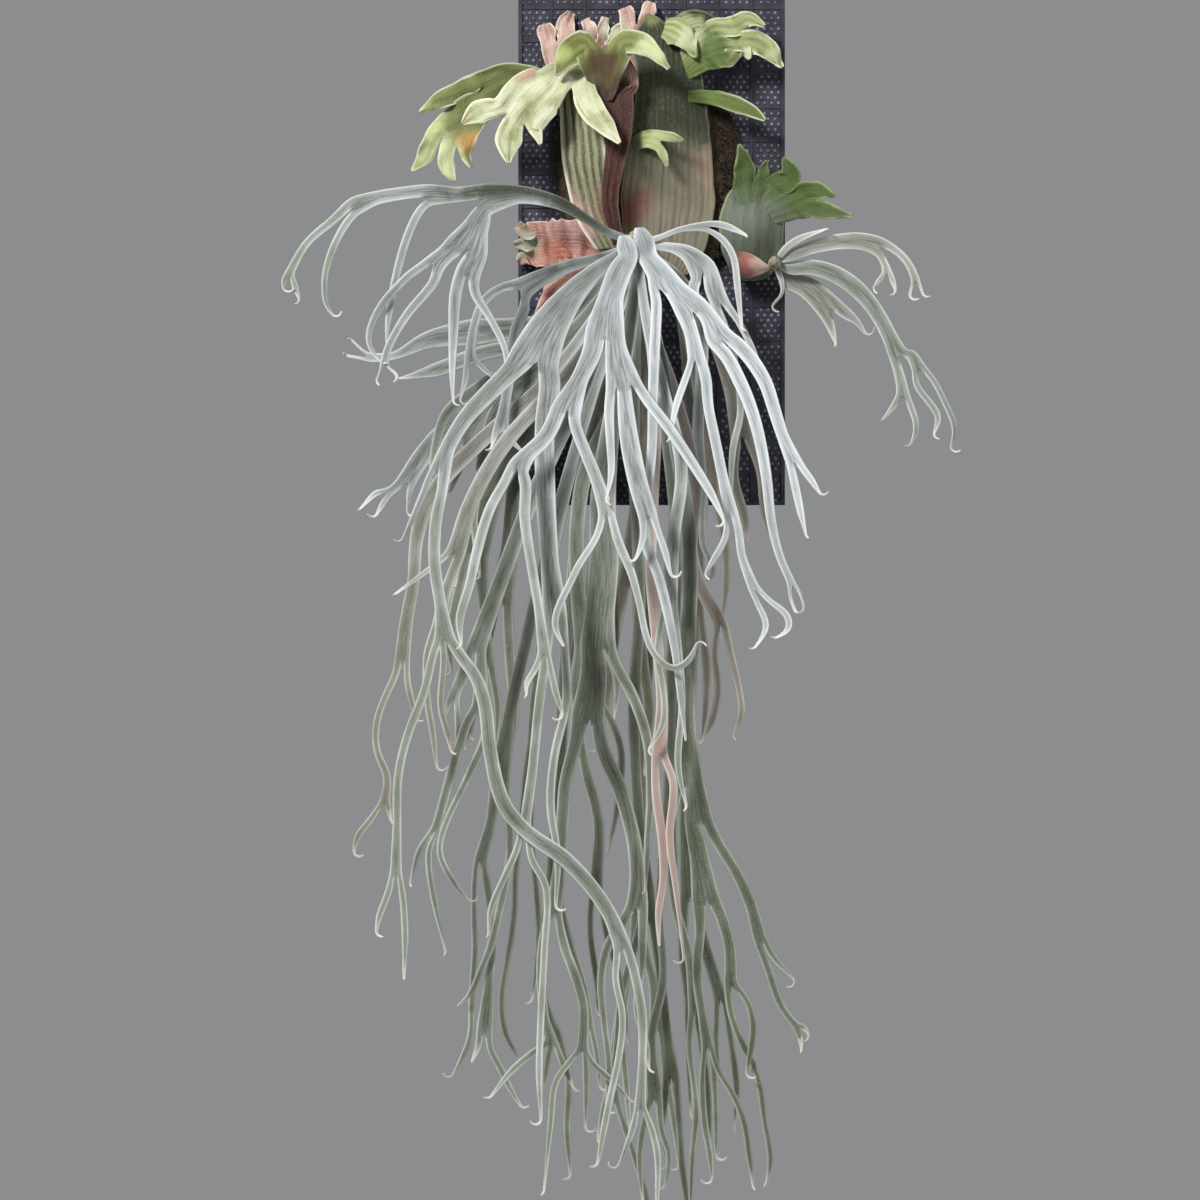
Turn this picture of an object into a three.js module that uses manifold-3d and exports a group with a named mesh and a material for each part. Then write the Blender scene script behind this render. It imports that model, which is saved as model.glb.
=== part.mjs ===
// A mounted staghorn fern: a board with a black net panel, a mound of moss and roots, the shield
// fronds that clasp it, and the long forked fronds that hang from two crowns. Millimetres, +Z up,
// front towards -Y, with the origin at the centre of the board's back face.
import * as THREE from 'three';
import { mergeVertices } from 'three/addons/utils/BufferGeometryUtils.js';
import Module from 'manifold-3d';

const wasm = await Module();
wasm.setup();

// ---- Driving dimensions ----
const BOARD = { width: 270, height: 541, thickness: 12 };
const PANEL = { width: 274, height: 545, sheet: 2, rib: 1.2, ribWidth: 2.4, rim: 2.2, rimWidth: 4 };
const RIB_CELLS = { across: 8, up: 16 };
const CLEARANCE = 0.3;
const BLADE = 1.2; // thickness of a frond
const STALK = { extra: 0.6, fade: 40 }; // the stalk is thicker, down to the blade in this length
const TIP_WIDTH = 2.4;
const TWIG = { base: 2.5, growth: 5 }; // a branch's usual width grows with the root of its tips
const FORK_FLARE = 1.15; // a blade widens to this much of its limbs' widths where it forks
const KEEP_HEADING = 0.833; // how much a limb leaves along the blade it grew from
const STEP = 34; // usual length of a straight piece along a frond
const SHIELD_STEP = 22;
const STEEPEST = 0.7; // a blade tilts by no more than this part of its half width
const PANEL_FRONT = BOARD.thickness + CLEARANCE + PANEL.sheet;
const MOSS_BACK = PANEL_FRONT + PANEL.rib + CLEARANCE;

// Fronds are laid out as on a drawing sheet, in mm to the right of and below its top left corner.
// The board's centre lies at this point of the sheet.
const SHEET = { across: 653, down: 230 };
const onBoard = (across, down) => new THREE.Vector2(across - SHEET.across, SHEET.down - down);

// ---- The mound of moss, and the crowns the fronds hang from ----
const MOUNDS = [
  { at: onBoard(638, 160), halfWidth: 84, halfHeight: 118, height: 52 },
  { at: onBoard(757, 216), halfWidth: 34, halfHeight: 40, height: 30 },
];
const MOUND_FALL = 1.2;
// A crown's fronds leave it one in front of the other, stack apart, and arch out until they hang
// hang apart. The first frond is in front of the shields.
const CROWN = {
  at: onBoard(637, 240), radius: 12, sink: 0.8, stalk: 8,
  depth: 70, stack: 3.4, rise: 12, hang: 12, reach: 165,
};
const PUP_CROWN = {
  at: onBoard(778, 257), radius: 7, sink: -0.4, stalk: 7,
  depth: 56, stack: 3.4, rise: 8, hang: 10, reach: 90,
};
const RHIZOME_TIP = 8; // how far a rhizome stands out past its foremost frond
const BUD = {
  foot: onBoard(734.5, 261), middle: onBoard(752, 262), length: 37.4, radius: 13,
  sink: 5.7, turn: -0.12, sides: 14,
};

const LIMB_SPREAD = 1.8; // the limbs of a fork part by this much in depth
const LIMB_FADE = 0.65; // and by less at each further fork
const EDGE_TILT = 2.2; // one edge of a limb stands this much nearer than the other
const LOBE_SEAT = 2; // a lobe starts this far behind the blade it grows from

const fraction = (number) => number - Math.floor(number);
const scatter = (x, z) => 2 * fraction(Math.sin(x * 12.9898 + z * 78.233) * 43758.5453) - 1;
const ease = (t) => t * t * (3 - 2 * t);

function moundHeight(x, z) {
  return MOUNDS.reduce((sum, mound) => {
    const across = (x - mound.at.x) / mound.halfWidth;
    const up = (z - mound.at.y) / mound.halfHeight;
    return sum + mound.height * Math.exp(-MOUND_FALL * (across * across + up * up));
  }, 0);
}

// Depth in front of the wall: over the mound, with room for what lies beneath
const overMound = (above) => (x, z) => MOSS_BACK + moundHeight(x, z) + above;

// A depth rule that stands out further than another with distance from a place on the sheet
const outFrom = (depthAt, from, rise, reach) => (x, z) => {
  const centre = onBoard(...from);
  const away = Math.hypot(x - centre.x, z - centre.y);
  return depthAt(x, z) + rise * (1 - Math.exp(-away / reach));
};

// The rule of a lobe that grows out of a blade: it starts a little behind it, so that the two are
// joined, and stands out further along its heading
const lobeFrom = (depthAt, foot, heading, rise, reach) => (x, z) => {
  const ahead = new THREE.Vector2(x, z).sub(onBoard(...foot)).dot(heading.clone().normalize());
  return depthAt(x, z) + rise * (1 - Math.exp(-Math.max(0, ahead) / reach)) - LOBE_SEAT;
};

// Depth in front of the wall: out of a crown in nested arches, order 0 at the back
const archFrom = (crown, order) => (x, z) => {
  const away = Math.hypot(x - crown.at.x, z - crown.at.y);
  const out = (crown.rise + crown.hang * order) * (1 - Math.exp(-away / crown.reach));
  return crown.depth + crown.stack * order + out;
};

// ---- Blades ----
// A branch is a list of sheet points [across, down] or [across, down, width], then the branches
// that it forks into. Its first point may also say how much nearer it lies: [..., width, nearer].
const isPoint = (item) => typeof item[0] === 'number';
const limbsOf = (branch) => branch.filter((item) => !isPoint(item));
const tipsOf = (branch) => limbsOf(branch).reduce((sum, limb) => sum + tipsOf(limb), 0) || 1;
const usualWidth = (branch) => TWIG.base + TWIG.growth * Math.sqrt(tipsOf(branch));

// The places where a branch is drawn across, from its start to its tip or fork
function stationsAlong(branch, start) {
  const marks = branch.filter(isPoint);
  const limbs = limbsOf(branch);
  const forkWidth = limbs.reduce((sum, limb) => sum + FORK_FLARE * usualWidth(limb), 0);
  const knots = marks.map(([across, down, width], i) => {
    const isEnd = i === marks.length - 1;
    const plain = isEnd ? forkWidth || TIP_WIDTH : usualWidth(branch);
    return { at: onBoard(across, down), width: width ?? plain };
  });
  knots.unshift({ at: start.centre, width: start.width });
  knots.forEach((knot, i) => {
    const before = knots[Math.max(0, i - 1)].at;
    const after = knots[Math.min(knots.length - 1, i + 1)].at;
    knot.heading = after.clone().sub(before).normalize();
  });
  knots[0].heading.addScaledVector(start.heading, KEEP_HEADING).normalize();

  const stations = [];
  for (let i = 1; i < knots.length; i += 1) {
    const [from, to] = [knots[i - 1], knots[i]];
    const third = from.at.distanceTo(to.at) / 3;
    const leave = from.at.clone().addScaledVector(from.heading, third);
    const arrive = to.at.clone().addScaledVector(to.heading, -third);
    const curve = new THREE.CubicBezierCurve(from.at, leave, arrive, to.at);
    const steps = Math.max(1, Math.round((3 * third) / start.step));
    for (let k = 1; k <= steps; k += 1) {
      const t = k / steps;
      stations.push({
        centre: curve.getPoint(t),
        heading: curve.getTangent(t),
        width: THREE.MathUtils.lerp(from.width, to.width, t),
        progress: (i - 1 + t) / (knots.length - 1),
      });
    }
  }
  return stations;
}

// One row of points across a blade, at the given parts (0 to 1) of its width
function addRow(blade, station, cuts) {
  const side = new THREE.Vector2(-station.heading.y, station.heading.x);
  const half = station.width / 2;
  const tilt = THREE.MathUtils.clamp(station.tilt, -STEEPEST * half, STEEPEST * half);
  const flat = Math.sqrt(half * half - tilt * tilt);
  const first = blade.points.length;
  for (const cut of cuts) {
    const across = 2 * cut - 1;
    const x = station.centre.x + side.x * flat * across;
    const z = station.centre.y + side.y * flat * across;
    const depth = blade.depthAt(x, z) + station.lift + tilt * across;
    blade.points.push(new THREE.Vector3(x, -depth, z));
    blade.thickness.push(station.thickness);
  }
  return cuts.map((cut, i) => first + i);
}

// Triangles between two rows that may hold different numbers of points
function zipRows(blade, upper, lower) {
  let [i, k] = [0, 0];
  while (i < upper.length - 1 || k < lower.length - 1) {
    const nextUpper = (i + 1) / (upper.length - 1);
    const nextLower = (k + 1) / (lower.length - 1);
    const stepUpper = k === lower.length - 1 || (i < upper.length - 1 && nextUpper < nextLower);
    if (stepUpper) {
      blade.faces.push([upper[i], lower[k], upper[i + 1]]);
      i += 1;
    } else {
      blade.faces.push([upper[i], lower[k], lower[k + 1]]);
      k += 1;
    }
  }
}

const evenCuts = (count) => Array.from({ length: count + 1 }, (_, i) => i / count);

// The limbs of a fork from one edge to the other, each with its share of the row
function shareOut(branch, end, lanes) {
  const side = new THREE.Vector2(-end.heading.y, end.heading.x);
  const sideways = (limb) => onBoard(limb[0][0], limb[0][1]).sub(end.centre).normalize().dot(side);
  const limbs = limbsOf(branch).sort((a, b) => sideways(a) - sideways(b));
  const total = limbs.reduce((sum, limb) => sum + usualWidth(limb), 0);
  let edge = 0;
  return limbs.map((limb) => {
    const share = usualWidth(limb) / total;
    const from = edge;
    edge += share;
    return { limb, from, share, lanes: Math.max(1, Math.round(lanes * share)) };
  });
}

function growLimb(blade, branch, start) {
  const stations = stationsAlong(branch, start);
  const end = stations[stations.length - 1];
  const parts = shareOut(branch, end, start.lanes);
  const lean = blade.lean * scatter(end.centre.x, end.centre.y);
  let row = start.row;
  for (const station of stations) {
    const t = ease(station.progress);
    station.tilt = THREE.MathUtils.lerp(start.tilt, lean, t);
    const risen = ease(Math.min(1, 2 * station.progress)); // a limb has parted halfway along
    station.lift = THREE.MathUtils.lerp(start.liftBefore, start.lift, risen);
    const fromRoot = start.length + station.progress * start.centre.distanceTo(end.centre);
    station.thickness = BLADE + STALK.extra * Math.max(0, 1 - fromRoot / STALK.fade);
    const isFork = station === end && parts.length > 0;
    const cuts = isFork
      ? parts.flatMap((part) => evenCuts(part.lanes).slice(0, -1).map((cut) => part.from + cut * part.share))
      : evenCuts(start.lanes).slice(0, -1);
    const next = addRow(blade, station, [...cuts, 1]);
    zipRows(blade, row, next);
    row = next;
  }
  const side = new THREE.Vector2(-end.heading.y, end.heading.x);
  let first = 0;
  parts.forEach((part, i) => {
    const middle = part.from + part.share / 2 - 0.5;
    const spread = blade.spread * LIMB_FADE ** start.level;
    growLimb(blade, part.limb, {
      row: row.slice(first, first + part.lanes + 1),
      centre: end.centre.clone().addScaledVector(side, middle * end.width),
      heading: end.heading,
      width: part.share * end.width,
      tilt: end.tilt,
      liftBefore: end.lift,
      lift: end.lift + spread * (2 * i + 1 - parts.length) + (part.limb[0][3] ?? 0),
      lanes: part.lanes,
      level: start.level + 1,
      length: STALK.fade,
      step: start.step,
    });
    first += part.lanes;
  });
}

// A blade grown from a root point over a depth rule, as its thin closed solid. A hanging one has a
// stalk, its limbs part in depth and its edges tilt; a shield's stay together.
function bladeGeometry({ branch, root, heading, depthAt, width, lanes = 1, step = STEP, hangs = true }) {
  const [spread, lean] = hangs ? [LIMB_SPREAD, EDGE_TILT] : [0, 0];
  const blade = { points: [], faces: [], thickness: [], depthAt, spread, lean };
  const thickness = BLADE + (hangs ? STALK.extra : 0);
  const foot = { centre: root, heading, width, tilt: 0, lift: 0, thickness };
  const row = addRow(blade, foot, evenCuts(lanes));
  const start = { row, lanes, level: 0, length: hangs ? 0 : STALK.fade, step, liftBefore: 0 };
  growLimb(blade, branch, { ...start, centre: root, heading, width, tilt: 0, lift: 0 });
  return thicken(blade.points, blade.faces, blade.thickness);
}

// An open surface given a thickness: a front, a back and walls along its free edges
function thicken(points, faces, thickness) {
  const normals = points.map(() => new THREE.Vector3());
  for (const [a, b, c] of faces) {
    const normal = new THREE.Vector3().subVectors(points[b], points[a]);
    normal.cross(new THREE.Vector3().subVectors(points[c], points[a]));
    for (const corner of [a, b, c]) normals[corner].add(normal);
  }
  const place = (sign) => points.map((point, i) => {
    return point.clone().addScaledVector(normals[i].normalize(), (sign * thickness[i]) / 2);
  });
  const count = points.length;
  const edges = new Set(faces.flatMap(([a, b, c]) => [`${a},${b}`, `${b},${c}`, `${c},${a}`]));
  const triangles = faces.flatMap(([a, b, c]) => [[a, b, c], [a + count, c + count, b + count]]);
  for (const edge of edges) {
    const [a, b] = edge.split(',').map(Number);
    if (edges.has(`${b},${a}`)) continue;
    triangles.push([a, a + count, b + count], [a, b + count, b]);
  }
  return solidFrom([...place(1), ...place(-1)], triangles);
}

function solidFrom(points, triangles) {
  const geometry = new THREE.BufferGeometry().setFromPoints(points);
  geometry.setIndex(triangles.flat());
  geometry.computeVertexNormals();
  return geometry;
}

// ---- Joining solids ----
function toManifold(geometry) {
  const plain = geometry.clone();
  plain.deleteAttribute('normal');
  plain.deleteAttribute('uv');
  const merged = mergeVertices(plain, 1e-4);
  const vertProperties = Float32Array.from(merged.attributes.position.array);
  const triVerts = Uint32Array.from(merged.index.array);
  return new wasm.Manifold(new wasm.Mesh({ numProp: 3, vertProperties, triVerts }));
}

// A profile of [radius, along] points turned round +Y
function turned(profile, segments) {
  const outline = profile.map(([radius, along]) => new THREE.Vector2(radius, along));
  const lathe = new THREE.LatheGeometry(outline, segments);
  return mergeVertices(lathe.deleteAttribute('normal').deleteAttribute('uv'), 1e-4);
}

function joined(...geometries) {
  const whole = geometries.map(toManifold).reduce((sum, next) => sum.add(next));
  const mesh = whole.getMesh();
  const geometry = new THREE.BufferGeometry();
  geometry.setAttribute('position', new THREE.BufferAttribute(Float32Array.from(mesh.vertProperties), 3));
  geometry.setIndex(Array.from(mesh.triVerts));
  geometry.computeVertexNormals();
  return geometry;
}

// ---- Materials ----
const paint = (color, roughness) => new THREE.MeshStandardMaterial({ color, roughness });
const MATERIALS = {
  board: paint(0x3a2d24, 0.75),
  net: paint(0x14121d, 0.55),
  moss: paint(0x5a4a34, 0.95),
  rhizome: paint(0xb9b6a2, 0.9),
  frond: paint(0x9fada3, 0.6),
  youngFrond: paint(0x7f9276, 0.6),
  shield: paint(0x9aa070, 0.65),
  oldShield: paint(0xb9806a, 0.85),
  bud: paint(0xc98277, 0.6),
};

const group = new THREE.Group();
group.name = 'mounted_staghorn_fern';

function addPiece(name, geometry, material) {
  const mesh = new THREE.Mesh(geometry, material);
  mesh.name = name;
  group.add(mesh);
}

// ---- Board and net panel ----
function slab(width, height, back, front, x = 0, z = 0) {
  const geometry = new THREE.BoxGeometry(width, front - back, height);
  return geometry.translate(x, -(front + back) / 2, z);
}

function netPanel() {
  const back = BOARD.thickness + CLEARANCE;
  const sheet = slab(PANEL.width, PANEL.height, back, PANEL_FRONT);
  const foot = back + PANEL.sheet / 2; // ribs and rim are sunk this far into the sheet
  const pieces = [sheet];
  for (let i = 1; i < RIB_CELLS.across; i += 1) {
    const x = PANEL.width * (i / RIB_CELLS.across - 0.5);
    pieces.push(slab(PANEL.ribWidth, PANEL.height - PANEL.rimWidth, foot, PANEL_FRONT + PANEL.rib, x));
  }
  for (let i = 1; i < RIB_CELLS.up; i += 1) {
    const z = PANEL.height * (i / RIB_CELLS.up - 0.5);
    pieces.push(slab(PANEL.width - PANEL.rimWidth, PANEL.ribWidth, foot, PANEL_FRONT + PANEL.rib, 0, z));
  }
  const rimFront = PANEL_FRONT + PANEL.rim;
  for (const side of [-1, 1]) {
    const x = (side * (PANEL.width - PANEL.rimWidth)) / 2;
    const z = (side * (PANEL.height - PANEL.rimWidth)) / 2;
    pieces.push(slab(PANEL.rimWidth, PANEL.height, foot, rimFront, x));
    pieces.push(slab(PANEL.width, PANEL.rimWidth, foot, rimFront, 0, z));
  }
  return joined(...pieces);
}

addPiece('mount_board', slab(BOARD.width, BOARD.height, 0, BOARD.thickness), MATERIALS.board);
addPiece('net_panel', netPanel(), MATERIALS.net);

// ---- Moss and roots: a mound with a flat back ----
const MOSS = {
  centre: onBoard(648, 162), halfWidth: 96, halfHeight: 124, rings: 6, spokes: 26, waves: 5, wander: 0.05,
};

function mossGeometry() {
  const { x: middleX, y: middleZ } = MOSS.centre;
  const points = [new THREE.Vector3(middleX, -overMound(0)(middleX, middleZ), middleZ)];
  const back = [new THREE.Vector3(middleX, -MOSS_BACK, middleZ)];
  const triangles = [];
  for (let ring = 1; ring <= MOSS.rings; ring += 1) {
    for (let spoke = 0; spoke < MOSS.spokes; spoke += 1) {
      const angle = (2 * Math.PI * spoke) / MOSS.spokes;
      const out = (ring / MOSS.rings) * (1 + MOSS.wander * Math.sin(MOSS.waves * angle));
      const x = middleX + MOSS.halfWidth * out * Math.cos(angle);
      const z = middleZ + MOSS.halfHeight * out * Math.sin(angle);
      points.push(new THREE.Vector3(x, -overMound(0)(x, z), z));
      if (ring === MOSS.rings) back.push(new THREE.Vector3(x, -MOSS_BACK, z));
    }
  }
  const at = (ring, spoke) => (ring === 0 ? 0 : 1 + (ring - 1) * MOSS.spokes + (spoke % MOSS.spokes));
  const behind = (spoke) => points.length + 1 + (spoke % MOSS.spokes);
  for (let spoke = 0; spoke < MOSS.spokes; spoke += 1) {
    triangles.push([0, at(1, spoke), at(1, spoke + 1)]);
    for (let ring = 1; ring < MOSS.rings; ring += 1) {
      triangles.push([at(ring, spoke), at(ring + 1, spoke), at(ring + 1, spoke + 1)]);
      triangles.push([at(ring, spoke), at(ring + 1, spoke + 1), at(ring, spoke + 1)]);
    }
    triangles.push([at(MOSS.rings, spoke), behind(spoke), behind(spoke + 1)]);
    triangles.push([at(MOSS.rings, spoke), behind(spoke + 1), at(MOSS.rings, spoke + 1)]);
    triangles.push([points.length, behind(spoke + 1), behind(spoke)]);
  }
  return solidFrom([...points, ...back], triangles);
}

addPiece('moss_root_mound', mossGeometry(), MATERIALS.moss);

// ---- Shield fronds, that clasp the mound ----
const UP = new THREE.Vector2(0, 1);

function shieldBlade({ foot, width, heading = UP, branch, depthAt, lanes, lobe }) {
  const root = onBoard(...foot);
  const rule = lobe ? lobeFrom(depthAt, foot, heading, lobe.rise, lobe.reach) : depthAt;
  const kind = { step: SHIELD_STEP, hangs: false };
  return bladeGeometry({ branch, root, heading, depthAt: rule, width, lanes, ...kind });
}

// Depth rules of the shields that others stand on or grow out of
const leftShield = outFrom(overMound(15), [592, 180], 14, 90);
const centreShield = outFrom((x, z) => leftShield(x, z) + 1.8, [604, 86], 50, 42);
const rightShield = outFrom(overMound(0.9), [668, 170], 14, 130);
const pupShield = outFrom(overMound(0.2), [755, 215], 8, 60);

const SHIELDS = [
  {
    name: 'old_shield_left_upper',
    material: 'oldShield',
    blades: [{
      foot: [606, 246], width: 22, heading: new THREE.Vector2(-1, 0), lanes: 3,
      depthAt: outFrom(overMound(-1.4), [590, 250], 14, 60),
      branch: [[578, 240, 46], [548, 238, 44], [526, 232, 34], [514, 226, 18]],
    }],
  },
  {
    name: 'old_shield_left_lower',
    material: 'oldShield',
    blades: [{
      foot: [606, 262], width: 20, heading: new THREE.Vector2(-0.8, -0.6), lanes: 3,
      depthAt: outFrom(overMound(2.2), [600, 265], 14, 60),
      branch: [[582, 274, 38], [560, 290, 40], [546, 308, 28], [538, 322, 10]],
    }],
  },
  {
    name: 'old_shield_top_left',
    material: 'oldShield',
    blades: [{
      foot: [564, 92], width: 14, lanes: 1, depthAt: outFrom(overMound(-1.8), [560, 60], 6, 50),
      branch: [[557, 50, 20], [553, 24, 20], [550, 6, 12]],
    }],
  },
  {
    name: 'old_shield_top',
    material: 'oldShield',
    blades: [{
      foot: [642, 70], width: 20, lanes: 2, depthAt: outFrom(overMound(0.6), [640, 50], 6, 50),
      branch: [[641, 36, 28], [638, 10, 28],
        [[630, -4]],
        [[650, -2]]],
    }],
  },
  {
    name: 'shield_left_rear',
    material: 'shield',
    blades: [{
      foot: [572, 104], width: 24, lanes: 3, depthAt: outFrom(overMound(-0.7), [574, 106], 60, 100),
      branch: [[548, 80, 32], [514, 68, 34], [484, 80, 42],
        [[456, 80, 17], [434, 92, 13], [416, 104]],
        [[466, 108, 36], [450, 124, 44],
          [[428, 134, 18], [413, 148, 14], [407, 164]],
          [[441, 148, 16], [449, 162, 11], [455, 173]],
          [[463, 149, 9], [470, 158]]]],
    }],
  },
  {
    name: 'shield_centre',
    material: 'shield',
    blades: [{
      foot: [604, 86], width: 10, lanes: 3, depthAt: centreShield,
      branch: [[604, 75, 13], [603, 58, 40],
        [[587, 40, 18], [571, 46, 18], [555, 68]],
        [[620, 35, 20], [648, 42, 17], [670, 63]]],
    }],
  },
  {
    name: 'shield_left',
    material: 'shield',
    blades: [
      {
        foot: [610.4, 243], width: 28, lanes: 4, depthAt: leftShield,
        branch: [[594, 205, 40], [584, 150, 46], [580, 105, 42], [576, 66, 38], [574, 52, 36]],
      },
      {
        foot: [575, 58], width: 36, heading: new THREE.Vector2(-0.2, -1), lanes: 5,
        depthAt: leftShield, lobe: { rise: 56, reach: 48 },
        branch: [[566, 74, 66],
          [[534, 87, 62], [515, 111, 58],
            [[475, 107, 17], [460, 119]],
            [[509, 140, 18], [508, 159]],
            [[540, 140]]],
          [[591, 104, 28], [606, 123, 21], [620, 142]]],
      },
    ],
  },
  {
    name: 'shield_right',
    material: 'shield',
    blades: [
      {
        foot: [664, 268], width: 50, lanes: 6, depthAt: rightShield,
        branch: [[666, 240, 84], [669, 195, 98], [671, 145, 88], [672, 100, 76], [674, 56, 62],
          [675, 36, 62],
          [[664, 12, 26], [654, -2]],
          [[692, 12, 28], [716, 10, 18], [724, 30]]],
      },
      {
        foot: [684, 56], width: 28, heading: new THREE.Vector2(1, 0.3), lanes: 2,
        depthAt: rightShield, lobe: { rise: 44, reach: 60 },
        branch: [[704, 44, 36], [726, 32, 46],
          [[746, 14, 20], [768, 14]],
          [[752, 38, 28], [772, 40, 20], [785, 57]]],
      },
      {
        foot: [688, 85], width: 12, heading: new THREE.Vector2(1, 0), lanes: 1,
        depthAt: rightShield, lobe: { rise: 40, reach: 60 },
        branch: [[714, 87, 16], [738, 94, 18], [756, 102, 14], [769, 111]],
      },
      {
        foot: [632, 138], width: 14, heading: new THREE.Vector2(1, 0.4), lanes: 1,
        depthAt: rightShield, lobe: { rise: 34, reach: 30 },
        branch: [[646, 132, 18], [659, 134, 22],
          [[674, 131, 11], [685, 134]],
          [[665, 150, 9], [668, 161]]],
      },
    ],
  },
  {
    name: 'shield_dry_fold',
    material: 'oldShield',
    blades: [{
      foot: [618.4, 240], width: 12, lanes: 1, depthAt: outFrom(overMound(27), [610, 150], 12, 90),
      branch: [[610, 195, 14], [617, 150, 15], [621, 115, 22],
        [[617, 86, 12], [611, 60]],
        [[635, 92, 9], [631, 66, 11], [626, 46]]],
    }],
  },
  {
    name: 'pup_shield',
    material: 'shield',
    blades: [
      {
        foot: [754, 272], width: 40, lanes: 3, depthAt: pupShield,
        branch: [[756, 244, 62], [755, 212, 66], [757, 186, 52], [758, 172, 30]],
      },
      {
        foot: [756, 198], width: 26, heading: new THREE.Vector2(-0.1, 1), lanes: 2,
        depthAt: pupShield, lobe: { rise: 26, reach: 50 },
        branch: [[754, 178, 30],
          [[747, 158, 14], [742, 135]],
          [[765, 160, 12], [770, 146]]],
      },
      {
        foot: [768, 204], width: 30, heading: new THREE.Vector2(0.85, 0.5), lanes: 2,
        depthAt: pupShield, lobe: { rise: 40, reach: 60 },
        branch: [[790, 190, 42],
          [[796, 168, 16], [789, 147]],
          [[812, 188, 28],
            [[828, 184, 13], [842, 192]],
            [[832, 204, 13], [858, 208]]]],
      },
    ],
  },
];

function addShield({ name, material, blades }) {
  const pieces = blades.map(shieldBlade);
  addPiece(name, pieces.length > 1 ? joined(...pieces) : pieces[0], MATERIALS[material]);
}

SHIELDS.forEach(addShield);

// ---- Rhizomes: the growing points, lying towards the front ----
const RHIZOME = { foot: 0.8, footHeight: 1, brow: 5, browTo: 1.2, browRadius: 0.72, sides: 20 };
const SEAT_SAMPLES = 12;

// The depth at which a round piece stands clear on a shield, or sinks into its hollow
function seatOn(shieldDepth, at, radius, sink) {
  const around = evenCuts(SEAT_SAMPLES).map((turn) => {
    const angle = 2 * Math.PI * turn;
    return shieldDepth(at.x + radius * Math.cos(angle), at.y + radius * Math.sin(angle));
  });
  return Math.max(...around) + BLADE / 2 + CLEARANCE - sink;
}

function rhizomeGeometry(crown, shieldDepth, orders) {
  const { radius } = crown;
  const foot = seatOn(shieldDepth, crown.at, radius, crown.sink);
  const front = archFrom(crown, orders)(crown.at.x + radius, crown.at.y) + RHIZOME_TIP;
  const profile = [[0, foot], [radius * RHIZOME.foot, foot], [radius, foot + RHIZOME.footHeight],
    [radius, front - RHIZOME.brow], [radius * RHIZOME.browRadius, front - RHIZOME.browTo], [0, front]];
  return turned(profile, RHIZOME.sides).rotateX(Math.PI).translate(crown.at.x, 0, crown.at.y);
}

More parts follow.
